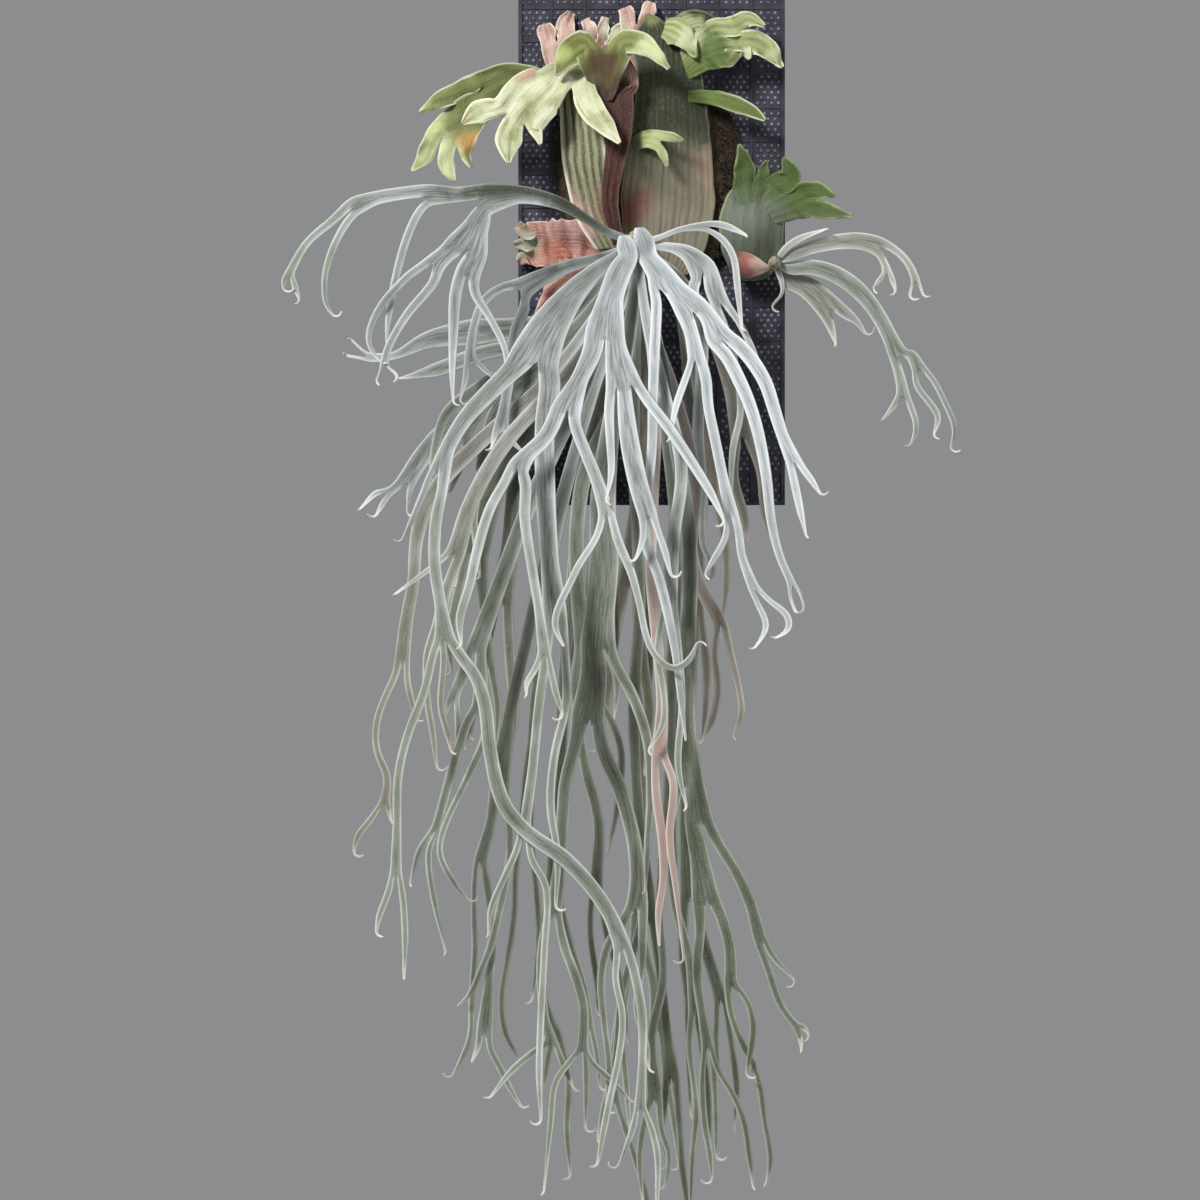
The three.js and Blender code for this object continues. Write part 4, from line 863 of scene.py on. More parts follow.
def drawn_vector(k, first):
    return Vector((scatter(k, first), scatter(k, first + 1), scatter(k, first + 2)))


MOSS = {"cuts": 2, "lump": 2.6, "broad": 17, "fine": 6}
FIBRE = {"count": 620, "draw": (7.31, 917.1), "length": (6, 14), "radius": 0.5, "sunk": 0.6}
# The shields lie close over these ellipses of the mound, so no fibre stands there: centre, half sizes.
CLASPED = [(on_board(640, 160), 81, 152), (on_board(757, 222), 38, 58)]


def is_bare(place):
    """Whether the mound shows at a place, with no shield over it."""
    def off_centre(at, wide, high):
        return ((place.x - at.x) / wide) ** 2 + ((place.z - at.y) / high) ** 2
    return all(off_centre(*ellipse) > 1 for ellipse in CLASPED)


def moss_mound():
    """The CAD mound, made lumpy, with root fibres standing out of it."""
    mesh = bmesh.new()
    mesh.from_mesh(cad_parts["moss_root_mound"].data)
    bmesh.ops.remove_doubles(mesh, verts=mesh.verts, dist=1e-5)
    bmesh.ops.scale(mesh, vec=(1 / MM, 1 / MM, 1 / MM), verts=mesh.verts)
    bmesh.ops.subdivide_edges(mesh, edges=mesh.edges, cuts=MOSS["cuts"], use_grid_fill=True)
    mesh.normal_update()
    for corner in mesh.verts:
        if -corner.co.y > MOSS_BACK + 0.5:
            lump = noise.noise(corner.co / MOSS["broad"]) + 0.6 * noise.noise(corner.co / MOSS["fine"])
            corner.co += corner.normal * (MOSS["lump"] * (lump - 0.5))
    mesh.faces.ensure_lookup_table()
    front = [face for face in mesh.faces if face.normal.y < -0.1 and is_bare(face.calc_center_median())]
    for k in range(FIBRE["count"]):
        face = drawn_face(front, k, *FIBRE["draw"])
        foot = face.calc_center_median() - face.normal * FIBRE["sunk"]
        way = (face.normal + drawn_vector(k, 1) * 0.9).normalized()
        bend = Vector((scatter(k, 4) * 0.9, scatter(k, 5) * 0.5, -0.7))
        strand(mesh, foot, way, mix(*FIBRE["length"], abs(scatter(k, 6))), FIBRE["radius"], bend)
    # Painted shade: the moss and roots are painted near-black brown so that the mound reads as lying in
    # shadow.
    paint = fibre_paint("moss_and_roots_in_painted_shade", rgb(22, 18, 14), rgb(78, 62, 44))
    return finish_piece("moss_mound", mesh, paint, ["moss_root_mound"], levels=0)


# ---- Rhizomes and bud ----
ROUND_SIDES = 20


def spun(profile, centre, turn):
    """A closed shape turned from [radius, along] points round its own axis."""
    mesh = bmesh.new()
    chain = [mesh.verts.new((radius, 0, along)) for radius, along in profile]
    edges = [mesh.edges.new(pair) for pair in zip(chain, chain[1:])]
    bmesh.ops.spin(
        mesh, geom=chain + edges, cent=(0, 0, 0), axis=(0, 0, 1), dvec=(0, 0, 0), angle=2 * math.pi,
        steps=ROUND_SIDES, use_merge=True,
    )
    bmesh.ops.remove_doubles(mesh, verts=mesh.verts, dist=0.01)
    bmesh.ops.transform(mesh, matrix=Matrix.Translation(centre) @ turn, verts=mesh.verts)
    bmesh.ops.recalc_face_normals(mesh, faces=mesh.faces)
    return mesh


SCALE = {"draw": (3.77, 713.9), "radius": 0.42, "sunk": 0.5, "jitter": 1.5, "least": 0.7, "more": 0.5}


def rhizome(node, crown, scales, scale_length):
    """A felted growing point: a lumpy stem covered with pale scales that lie towards its tip."""
    low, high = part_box(node)
    back, front = -high.y / MM, -low.y / MM
    length = front - back
    thick = crown.radius * 0.98
    rings = max(4, round(length / 6))
    profile = [(0, 0), (crown.radius * 0.8, 0), (thick, 3)]
    profile += [(thick, 3 + (length - 12) * k / rings) for k in range(1, rings + 1)]
    profile += [(crown.radius * 0.86, length - 4), (crown.radius * 0.5, length - 1), (0, length)]
    mesh = spun(profile, (crown.at.x, -back, crown.at.y), Matrix.Rotation(math.pi / 2, 4, "X"))

    def row_and_side(face):
        centre = face.calc_center_median()
        turn = math.atan2(centre.z - crown.at.y, centre.x - crown.at.x)
        return math.floor(0.25 - centre.y), math.floor(turn * ROUND_SIDES / (2 * math.pi))
    # A spin gives its faces in another order each run, so they are put in order before the draws.
    skin = sorted(mesh.faces, key=row_and_side)
    mesh.normal_update()
    for corner in mesh.verts:
        corner.co += corner.normal * (1.1 * noise.noise(corner.co / 5) - 0.7)
    for k in range(scales):
        face = drawn_face(skin, k, *SCALE["draw"])
        shift = drawn_vector(k, 8) * SCALE["jitter"]
        foot = face.calc_center_median() + shift - face.normal * (SCALE["sunk"] + shift.dot(face.normal))
        way = (face.normal * 0.5 + Vector((0, -1, 0)) + shift * 0.25).normalized()
        long = scale_length * (SCALE["least"] + SCALE["more"] * abs(scatter(k, 11)))
        strand(mesh, foot, way, long, SCALE["radius"], -face.normal * 0.6, 2)
    paint = fibre_paint(node + "_felt", rgb(112, 98, 78), rgb(196, 190, 172), 240)
    return finish_piece(node + "_scales", mesh, paint, [node], levels=0)


# The bud is drawn fuller than its solid, and shifted so that it still sits in the pup's side.
BUD = {
    "profile": [
        (0, 0), (8.4, 1.2), (12.4, 5), (14.6, 11), (14.8, 17),
        (13, 24), (9.8, 31), (6, 37), (2.8, 41.5), (0, 43),
    ],
    "shift": Vector((-3, -2, 4.5)),
    "dip": 0.12,
    "shrink": 0.7, "crease": 0.55, "lump": 0.5,
}


def pup_bud():
    """The pink bud, pointing right and a little down, with three soft creases."""
    low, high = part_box("pup_bud")
    middle = (low + high) / (2 * MM)
    turn = Matrix.Rotation(math.pi / 2 + BUD["dip"], 4, "Y")
    mesh = spun(BUD["profile"], Vector((low.x / MM, middle.y, middle.z)) + BUD["shift"], turn)
    for corner in mesh.verts:
        crease = math.sin(3 * math.atan2(corner.co.z - middle.z, corner.co.y - middle.y) + corner.co.x / 14)
        inward = Vector((0, middle.y - corner.co.y, middle.z - corner.co.z)).normalized()
        lump = noise.noise(corner.co / 6)
        corner.co += inward * (BUD["shrink"] + BUD["crease"] * crease + BUD["lump"] * lump)
    return finish_piece("pink_pup_bud", mesh, bud_paint(), ["pup_bud"])

# ---- Shield fronds ----
LEFT_SHIELD = out_from(over_mound(15), (592, 180), 14, 90)
RIGHT_SHIELD = out_from(over_mound(0.9), (668, 170), 14, 130)
PUP_SHIELD_DEPTH = out_from(over_mound(0.2), (755, 215), 8, 60)
CENTRE_SHIELD = out_from(lambda x, z: LEFT_SHIELD(x, z) + 1.8, (604, 86), 50, 42)


# How the sheets are creased and frayed. Each blade adds what is its own.
FRAYED = {"step": 4, "ruffle_step": 3.4, "ruffle_middle": 0.6}
CRUMPLED = {"step": 5, "ruffle": 2.5, "ruffle_step": 5, "pleats": 2, "pleat": 1.4, "ragged": 5}
WAVY = {"ruffle_step": 8, "ragged": 3}
FOLDED_ALONG = 200  # the length noted where the flap folds over


def shield_sheet(depth_at, foot, width, branch, lanes, heading=(0, 1), lobe=None, step=SHIELD_STEP, **form):
    """One blade of a shield, in a mesh of its own."""
    rule = lobe_from(depth_at, foot, heading, *lobe) if lobe else depth_at
    blade = Blade(rule, step, False, **form)
    way = Vector(heading).normalized()
    row = blade.first_row(on_board(*foot), way, width, lanes * tips_of(branch))
    blade.last_row = blade.grow(branch, Start(row, on_board(*foot), way, width))
    return blade


def fold_over(blade, foot, width, heading, depth_at, lobe, branch, **form):
    """Carries a sheet on over a rounded fold, forwards and down."""
    blade.depth_at = lobe_from(depth_at, foot, heading, *lobe, seat=0)
    blade.form = replace(blade.form, **form)
    way = Vector(heading).normalized()
    blade.grow(branch, Start(blade.last_row[::-1], on_board(*foot), way, width, along=FOLDED_ALONG))


def join_sheets(*blades):
    """Several blades in one mesh."""
    whole = blades[0].mesh
    for blade in blades[1:]:
        data = bpy.data.meshes.new("sheet")
        blade.mesh.to_mesh(data)
        blade.mesh.free()
        whole.from_mesh(data)
        bpy.data.meshes.remove(data)
    return whole


def add_shield(node, material, slot, *blades):
    return finish_piece(node + "_sheet", join_sheets(*blades), material, [node], BLADE)


def old_shields():
    """The dry shields: two at the left, two at the top and the maroon fold."""
    upper = shield_sheet(
        out_from(over_mound(-0.4), (590, 250), 14, 60), (606, 246), 22,
        [[578, 236, 50], [550, 236, 50], [534, 234, 46],
         [[523, 222, 19], [515, 215, 12]],
         [[521, 235, 16], [512, 237, 10]],
         [[524, 247, 17], [517, 255, 11]]],
        7, (-1, 0), ruffle=5.5, pleats=1.3, pleat=1.8, ragged=8, **FRAYED,
    )
    add_shield("old_shield_left_upper", HUSK_PINK, "old_shield", upper)
    lower = shield_sheet(
        out_from(over_mound(2.2), (600, 265), 14, 60), (606, 262), 20,
        [[582, 274, 38], [560, 290, 40], [546, 308, 28], [538, 322, 10]],
        16, (-0.8, -0.6), ruffle=4, pleats=2.5, pleat=2.2, ragged=5, **FRAYED,
    )
    add_shield("old_shield_left_lower", HUSK_PINK, "old_shield", lower)
    top_left = shield_sheet(
        out_from(over_mound(-1.8), (560, 60), 6, 50), (564, 92), 14,
        [[557, 50, 26], [556, 28, 36],
         [[545, 16, 20], [543, 8, 12]],
         [[565, 8, 20], [571, -4, 10]]],
        5, **CRUMPLED,
    )
    scrap = shield_sheet(
        out_from(over_mound(-1.2), (600, 50), 8, 40), (598, 52), 14,
        [[600, 34, 30],
         [[590, 14, 16], [584, 4, 10]],
         [[604, 12, 13], [606, 2, 8]],
         [[616, 20, 16], [624, 11, 10]]],
        5, step=4, ruffle=3, ruffle_step=4, ragged=5,
    )
    add_shield("old_shield_top_left", HUSK_PALE, "old_shield", top_left, scrap)
    top = shield_sheet(
        out_from(over_mound(0.6), (640, 50), 6, 50), (642, 70), 20,
        [[641, 36, 32], [638, 12, 34],
         [[628, 0, 18], [625, -8, 12]],
         [[650, -6, 16], [653, -14, 9]]],
        5, **CRUMPLED,
    )
    add_shield("old_shield_top", HUSK_PALE, "old_shield", top)
    fold = shield_sheet(
        out_from(over_mound(27), (610, 150), 12, 90), (618.4, 240), 12,
        [[610, 195, 18], [616, 150, 22], [619, 115, 30], [614, 88, 42],
         [[604, 66, 30], [598, 52, 16]],
         [[634, 82, 10], [632, 64, 11], [626, 46]]],
        8, ruffle=1.2, ruffle_step=9, pleats=3, pleat=1.3, ragged=2,
    )
    add_shield("shield_dry_fold", HUSK_RED_AND_SHADE, "old_shield", fold)


def left_shields():
    """The left shield with its flap, the flap behind it, and the curl over the middle."""
    rear = shield_sheet(
        out_from(over_mound(-0.7), (574, 106), 60, 100), (572, 104), 24,
        [[548, 80, 32], [514, 68, 34], [484, 80, 42],
         [[456, 82, 23], [434, 92, 18], [416, 104]],
         [[464, 108, 42], [447, 132, 52],
          [[422, 148, 19], [408, 164]],
          [[444, 160, 17], [453, 174]],
          [[464, 150, 11], [470, 160]]]],
        5, ruffle=4.5, **WAVY,
    )
    add_shield("shield_left_rear", REAR_FLAP, "shield", rear)
    left = shield_sheet(
        LEFT_SHIELD, (610.4, 243), 28,
        [[594, 205, 40], [584, 150, 46], [580, 105, 42], [576, 66, 38], [574, 52, 36]],
        FLAP_LANES, pleats=FLAP_PLEATS, pleat=1.9,
    )
    fold_over(
        left, (574, 52), 36, (-0.2, -1), LEFT_SHIELD, (56, 48),
        [[566, 74, 66],
         [[534, 87, 62], [515, 111, 58],
          [[476, 106, 27], [460, 119]],
          [[507, 136, 31], [508, 159]],
          [[535, 124, 14], [540, 140]]],
         [[591, 104, 28], [606, 123, 21], [620, 142]]],
        pleats=2.6, pleat=3, ruffle=3.5, **WAVY,
    )
    add_shield("shield_left", FLAP, "shield", left)
    centre = shield_sheet(
        CENTRE_SHIELD, (604, 94), 16,
        [[605, 82, 26], [604, 62, 46], [604, 46, 62],
         [[586, 37, 32], [569, 47, 30], [555, 69]],
         [[622, 35, 27], [648, 41, 22], [670, 64]]],
        8, ruffle=3.5, ruffle_step=7, ragged=3,
    )
    add_shield("shield_centre", TOP_FLAP, "shield", centre)


def right_shield():
    """The main shield, and in a piece of their own the lobes that stand out from it."""
    main = shield_sheet(
        RIGHT_SHIELD, (664, 268), 50,
        [[666, 240, 84], [669, 195, 98], [671, 145, 88], [672, 100, 76], [670, 56, 68], [669, 36, 72],
         [[654, 13, 32], [648, -1]],
         [[688, 12, 34], [712, 9, 20], [724, 28]]],
        12, pleats=7, pleat=0.55, ragged=2.5,
    )
    top = shield_sheet(
        RIGHT_SHIELD, (684, 56), 28,
        [[702, 42, 40], [722, 32, 54],
         [[738, 15, 24], [752, 8, 18], [768, 16]],
         [[744, 36, 17], [753, 49]],
         [[758, 32, 26], [772, 40, 22], [786, 58]]],
        7, (1, 0.3), (44, 60), step=4, ruffle=5.5, ruffle_step=4, ragged=2.5,
    )
    tongue = shield_sheet(
        RIGHT_SHIELD, (688, 85), 12,
        [[714, 87, 16], [738, 94, 18], [756, 102, 14], [769, 111]],
        8, (1, 0), (40, 60), ruffle=2, ruffle_step=8, ragged=1.5,
    )
    tuft = shield_sheet(
        RIGHT_SHIELD, (632, 138), 14,
        [[646, 132, 18], [659, 134, 22],
         [[674, 131, 11], [685, 134]],
         [[665, 150, 9], [668, 161]]],
        5, (1, 0.4), (34, 30), ruffle=2.5, ruffle_step=4, ragged=2,
    )
    frill = shield_sheet(
        RIGHT_SHIELD, (664, 14), 20,
        [[676, 18, 32], [687, 27, 24], [698, 47]],
        12, (1, -0.4), (22, 20), step=4, ruffle=4, ruffle_step=3.5, ragged=5,
    )
    add_shield("shield_right", MAIN_SHIELD, "shield", main)
    lobes = join_sheets(top, tongue, tuft, frill)
    finish_piece("shield_right_lobes", lobes, LOBES, thickness=BLADE)


def pup_shield():
    """The pup's shield: a dome over the mound, two ears and a fan."""
    dome = shield_sheet(
        PUP_SHIELD_DEPTH, (752, 273), 16,
        [[754, 266, 42], [756, 244, 64], [755, 212, 68], [757, 186, 54], [758, 172, 30]],
        14, pleats=5, pleat=0.5,
    )
    ears = shield_sheet(
        PUP_SHIELD_DEPTH, (756, 198), 26,
        [[755, 180, 40],
         [[748, 158, 24], [742, 134]],
         [[766, 166, 17], [771, 150]]],
        5, (-0.1, 1), (26, 50), step=4.5, ruffle=2.5, ruffle_step=4, ragged=3,
    )
    fan = shield_sheet(
        PUP_SHIELD_DEPTH, (768, 204), 30,
        [[788, 188, 56],
         [[794, 168, 28], [788, 147]],
         [[812, 190, 38],
          [[824, 182, 18], [840, 188]],
          [[834, 203, 18], [858, 208]]]],
        5, (0.85, 0.5), (40, 60), step=4.5, ruffle=3, ruffle_step=4, ragged=4,
    )
    add_shield("pup_shield", PUP_SHIELD, "shield", dome, ears, fan)


# ---- Hanging fronds: name, order from the back, tone (0 silver to 1 olive), blush, branch ----
CROWN_FRONDS = [
    ("frond_low_left", -3, 0.75, 0,
     [[600, 282, 10], [588, 400, 14], [574, 560, 14], [562, 700, 14], [556, 820, 14], [552, 905, 20],
     [[541, 960, 11], [540, 1006, 12], [554, 1046, 16],
     [[568, 1092, 8], [566, 1140, 8], [570, 1188]],
     [[546, 1072, 7], [542, 1104]]],
     [[568, 950, 11], [581, 990, 10], [587, 1034, 15],
     [[586, 1090, 8], [585, 1140]],
     [[597, 1066, 7], [600, 1098]]]]),
    ("frond_low_centre", -3, 0.7, 0.0,
     [[640, 310, 10], [648, 460, 14], [650, 600, 14], [644, 740, 14], [640, 860, 14], [640, 950, 20],
     [[626, 996, 11], [619, 1046, 15],
     [[611, 1090, 8], [606, 1142]],
     [[627, 1096, 8], [631, 1150]]],
     [[655, 994, 11], [658, 1034, 15],
     [[649, 1060, 7], [650, 1088]],
     [[667, 1080, 8], [675, 1130, 8], [681, 1178]]]]),
    ("frond_low_right", -3, 0.85, 0,
     [[676, 282, 10], [694, 420, 14], [700, 560, 14], [692, 700, 14], [688, 820, 14], [692, 900, 20],
     [[685, 958, 11], [693, 1012, 15],
     [[690, 1064, 7], [693, 1128]],
     [[705, 1060, 8], [711, 1120, 8], [712, 1164]]],
     [[706, 948, 11], [723, 1006, 15],
     [[719, 1050, 7], [722, 1096]],
     [[734, 1052, 8], [740, 1100, 8], [737, 1142]]]]),
    ("frond_shade_left", -2, 0.9, 0.05,
     [[598, 276, 10], [566, 330, 15], [534, 388, 20], [518, 430, 28],
     [[505, 448, 10], [493, 462]],
     [[514, 482, 17], [508, 545, 17], [500, 598, 24],
     [[484, 645, 11], [474, 694, 9], [468, 738]],
     [[508, 655, 12], [512, 716, 12], [505, 770]]]]),
    ("frond_shade_centre", -2, 1.0, 0.1,
     [[642, 312, 11], [644, 400, 17], [642, 490, 20], [632, 580, 28],
     [[614, 640, 12], [606, 705, 11], [596, 752]],
     [[642, 650, 13], [650, 716, 12], [645, 776]]]),
    ("frond_shade_right", -2, 0.8, 0.2,
     [[680, 270, 10], [712, 324, 14], [734, 382, 18], [744, 430, 24],
     [[736, 474, 11], [748, 516, 9], [750, 541]],
     [[764, 468, 11], [768, 510, 9], [780, 546]]]),
    ("frond_back_left", -1, 1.0, 0.0,
     [[602, 272, 10], [574, 346, 16], [532, 420, 20], [492, 492, 22], [474, 548, 28],
     [[455, 594, 11], [446, 640, 9], [449, 672]],
     [[482, 608, 12], [484, 660, 16],
     [[474, 706, 8], [463, 748]],
     [[496, 708, 8], [494, 752]]]]),
    ("frond_back_centre", -1, 0.85, 0.1,
     [[630, 310, 11], [610, 380, 17], [594, 440, 24],
     [[580, 482, 11], [574, 518, 10], [582, 536]],
     [[600, 510, 16], [598, 580, 24],
     [[582, 618, 9], [573, 650, 8], [570, 678]],
     [[606, 640, 10], [618, 684, 9], [614, 722]]]]),
    ("frond_back_right", -1, 0.9, 0.25,
     [[672, 276, 10], [696, 352, 16], [708, 428, 20], [710, 490, 24],
     [[700, 548, 12], [698, 610, 16],
     [[688, 652, 9], [692, 700]],
     [[708, 660, 10], [708, 704, 9], [704, 740]]],
     [[726, 536, 11], [728, 590, 9], [720, 632]]]),
    ("frond_deep_left", 0, 0.75, 0,
     [[622, 300], [590, 400], [560, 520], [540, 640], [530, 740], [524, 830],
     [[514, 880], [513, 920], [506, 965], [500, 1005], [504, 1040], [518, 1066]],
     [[534, 880], [538, 930], [536, 970], [531, 1005]]]),
    ("frond_deep_centre", 1, 0.8, 0,
     [[636, 330], [634, 450], [640, 600], [634, 720], [640, 830], [648, 920],
     [[632, 960], [622, 1000], [617, 1060], [612, 1100],
     [[603, 1118], [598, 1145]],
     [[624, 1130], [634, 1160], [648, 1210], [652, 1250]]],
     [[660, 970], [668, 1040], [672, 1080],
     [[664, 1120], [662, 1140], [668, 1170]],
     [[680, 1130], [684, 1180], [692, 1240], [688, 1275]]]]),
    ("frond_deep_right", 2, 0.8, 0,
     [[648, 320], [668, 440], [678, 560], [672, 680], [670, 790], [668, 860],
     [[674, 900], [690, 960], [697, 1010],
     [[690, 1050], [695, 1090], [697, 1120], [693, 1160], [690, 1230]],
     [[712, 1050], [716, 1100], [717, 1160]]],
     [[660, 920], [664, 980], [652, 1040], [655, 1100],
     [[646, 1120], [640, 1160], [643, 1205]],
     [[662, 1135], [670, 1160], [666, 1190]]]]),
    ("frond_left_broad", 1, 0.45, 0,
     [[595, 285, 12], [560, 318, 20], [520, 331, 36],
     [[470, 329, 28], [425, 337, 18], [392, 353, 8], [366, 355, 10],
     [[358, 346, 3], [349, 337]],
     [[356, 355, 3], [344, 353]]],
     [[475, 352, 16], [435, 367, 16], [398, 376]]]),
    ("frond_left_outlier", 2, 0.2, 0,
     [[594, 305, 10], [545, 352, 14], [485, 398, 18], [442, 430, 18], [419, 458, 20], [406, 479, 20],
     [[395, 486, 10], [386, 492, 10],
     [[375, 491], [358, 508]],
     [[381, 502], [375, 514]]],
     [[408, 492], [406, 511]]]),
    ("frond_lower_left", 3, 0.55, 0,
     [[618, 310], [590, 400], [555, 520], [528, 630], [508, 720], [500, 780],
     [[490, 825, 11], [480, 860, 15],
     [[473, 900], [474, 950], [471, 1000], [470, 1038], [463, 1058], [452, 1078]],
     [[487, 890], [491, 930], [489, 980], [484, 1030],
     [[490, 1052], [500, 1070], [507, 1086], [520, 1108]],
     [[478, 1048], [472, 1062]]]],
     [[510, 840, 9, 5], [507, 875, 9], [499, 912, 9], [490, 948, 9], [480, 972], [470, 995], [459, 1006]]]),
    ("frond_left_inner", 4, 0.75, 0,
     [[599, 298, 12], [562, 342, 18], [524, 374, 26], [494, 392, 40],
     [[462, 398, 14], [446, 412, 12], [436, 440, 10], [432, 468], [436, 492]],
     [[474, 412, 18], [462, 432, 18],
     [[450, 446], [445, 464]],
     [[464, 456], [456, 475], [451, 489]]],
     [[492, 418, 14], [484, 450, 12], [477, 490, 10], [470, 512],
     [[462, 545], [455, 585]],
     [[476, 545], [480, 575]]]]),
    ("frond_left_long", 5, 0.5, 0.12,
     [[597, 312, 11], [545, 382, 14], [484, 438, 16], [441, 482, 16], [423, 515, 16], [416, 545, 14],
     [414, 580, 13], [407, 620, 14], [403, 655, 16],
     [[396, 674, 8], [385, 698, 8], [377, 722, 8], [377, 750, 8], [388, 778, 9], [385, 800, 10],
     [[389, 808], [391, 820]],
     [[372, 818], [358, 836], [354, 851]]],
     [[408, 684], [413, 704], [416, 718]]]),
    ("frond_left_grey", 6, 0.3, 0,
     [[600, 255, 10], [572, 263, 13], [540, 277, 18], [522, 288, 24],
     [[501, 287, 10], [484, 300, 10], [474, 326, 9], [470, 358, 12],
     [[466, 378], [460, 399]],
     [[482, 367], [500, 383]]],
     [[525, 306, 12], [516, 330, 13], [511, 365, 12], [506, 400, 11], [502, 422, 14],
     [[495, 435], [492, 447]],
     [[509, 438], [523, 452]]]]),
    ("frond_left_pink", 9, 0.45, 0.1,
     [[606, 318, 11], [562, 382, 14], [508, 442, 16], [474, 500, 16], [458, 552, 20],
     [[436, 566, 7], [398, 594]],
     [[448, 592, 12], [441, 625, 14],
     [[429, 655], [430, 700], [435, 730], [439, 765]],
     [[446, 660], [443, 705], [450, 732], [453, 748]]]]),
    ("frond_centre_dark", 6, 0.85, 0,
     [[633, 320, 11], [616, 400, 14], [586, 470, 16], [577, 530, 16], [578, 590, 16], [584, 640, 20],
     [[576, 690, 12], [584, 760, 11], [598, 820, 11], [596, 880, 14],
     [[590, 930], [598, 990], [597, 1010]],
     [[606, 930], [620, 980], [628, 1040]]],
     [[592, 680, 10, 4], [620, 745], [618, 800], [608, 850]]]),
    ("frond_right_inner", 13, 0.55, 0,
     [[646, 320, 11], [664, 400, 13], [680, 470, 13], [672, 540, 13], [668, 600, 16],
     [[656, 650], [662, 690], [662, 720], [648, 745]],
     [[676, 640], [680, 700], [676, 760], [684, 800]]]),
    ("frond_mid_left", 7, 0.5, 0,
     [[610, 312, 11], [578, 400, 14], [532, 500, 16], [498, 590, 16], [478, 645, 20],
     [[465, 672, 14], [455, 694, 12],
     [[449, 704], [446, 716]],
     [[459, 716], [457, 740]]],
     [[482, 680, 14], [481, 704, 16],
     [[468, 722, 10], [457, 755, 10], [446, 795, 10], [438, 825, 10],
     [[430, 850], [436, 900], [447, 948]],
     [[420, 850], [412, 880]]],
     [[486, 735, 9], [474, 765, 9], [462, 790], [447, 822], [441, 850], [455, 880], [470, 898]]]]),
    ("frond_long_centre", 10, 0.7, 0,
     [[630, 320, 12], [612, 420, 18], [603, 500, 26], [604, 560, 30], [600, 612, 30], [598, 642, 36],
     [[594, 670, 26], [588, 714, 34],
     [[576, 740, 14], [566, 780, 13], [563, 820, 13], [560, 862, 13], [555, 905, 16],
     [[544, 935, 10], [542, 970, 10], [545, 1010, 10], [552, 1034, 13],
     [[564, 1057], [574, 1080]],
     [[538, 1042], [514, 1062], [493, 1088]]],
     [[565, 940, 10, 5], [576, 970, 10], [584, 1000, 10], [583, 1040, 12],
     [[568, 1056], [556, 1074], [552, 1110], [545, 1180]],
     [[594, 1056], [612, 1072], [630, 1092]]]],
     [[603, 748, 16, -5], [619, 785, 15], [632, 830, 15], [637, 870, 16], [637, 898, 22],
     [[624, 914, 11], [607, 942, 10], [601, 975, 9], [604, 1015], [609, 1060], [606, 1100]],
     [[642, 930, 10], [641, 965], [636, 1000], [646, 1040], [648, 1060]]]],
     [[616, 664, 12], [632, 694, 12], [646, 735, 11], [650, 785, 10], [646, 850], [645, 884]]]),
    ("frond_long_right", 11, 0.85, 0,
     [[652, 320, 12], [672, 430, 14], [688, 540, 15], [686, 640, 17], [683, 725, 22], [688, 775, 26],
     [[672, 808, 8], [663, 848]],
     [[696, 812, 28],
     [[718, 842, 11], [734, 868, 11], [748, 900, 12], [756, 930, 14],
     [[763, 957, 8], [777, 997, 8], [792, 1017, 8],
     [[800, 1018], [804, 1024]],
     [[797, 1028], [797, 1040]]],
     [[770, 950], [790, 971]]],
     [[698, 856, 20], [703, 890, 28],
     [[698, 920, 11], [695, 965, 10], [700, 1005, 10], [705, 1035, 13],
     [[700, 1070], [702, 1110], [708, 1145], [710, 1167]],
     [[715, 1060], [729, 1082], [741, 1112], [746, 1145], [750, 1174]]],
     [[718, 908, 12], [727, 940, 12], [728, 975, 14],
     [[728, 1004, 8], [738, 1032], [750, 1055], [757, 1080], [761, 1110], [767, 1148], [763, 1170]],
     [[744, 992, 7, 6], [750, 1016], [748, 1036], [743, 1062]]]]]]),
    ("frond_mid_right", 8, 0.5, 0.35,
     [[650, 320, 11], [676, 400, 13], [694, 480, 14], [690, 550, 14], [702, 592, 13], [719, 622, 15],
     [[730, 655], [738, 690], [740, 714], [732, 732]],
     [[713, 652], [717, 688], [711, 720], [701, 740]]]),
    ("frond_right_broad", 5, 0.25, 0,
     [[672, 244, 10], [690, 251, 18], [704, 268, 30],
     [[693, 288, 12], [702, 315, 13], [702, 370, 13], [698, 430, 12], [701, 485, 14],
     [[695, 499, 6], [686, 515]],
     [[702, 525], [704, 548], [713, 566], [711, 580], [702, 584]]],
     [[714, 284, 20], [720, 300, 20],
     [[727, 328], [736, 365], [741, 410], [733, 450], [731, 500]],
     [[739, 320], [752, 346], [762, 368]]]]),
    ("frond_right_arc", 6, 0.3, 0,
     [[660, 234, 6], [682, 226, 6], [704, 224, 10],
     [[718, 222], [731, 226], [745, 233]],
     [[722, 236], [734, 254], [738, 285], [742, 326]]]),
    ("frond_pink_centre", 12, 0.2, 0.75,
     [[641, 280, 10], [645, 310, 10], [651, 345, 11], [655, 420, 12], [652, 500, 12], [650, 570, 12],
     [656, 640, 12], [661, 700, 12], [658, 748, 16],
     [[655, 790, 10], [661, 835, 10], [662, 875, 9], [657, 905], [658, 936]],
     [[672, 780, 9], [668, 830, 9], [674, 880], [682, 950]]]),
    ("frond_left_arch", 13, 0.35, 0,
     [[608, 232, 9], [590, 222, 9], [560, 206, 13], [520, 199, 18], [488, 205, 32],
     [[460, 201, 15], [432, 202, 22],
     [[417, 228, 9, -6], [404, 265, 9], [393, 318], [391, 346]],
     [[405, 201, 13], [380, 206, 14], [360, 214, 20],
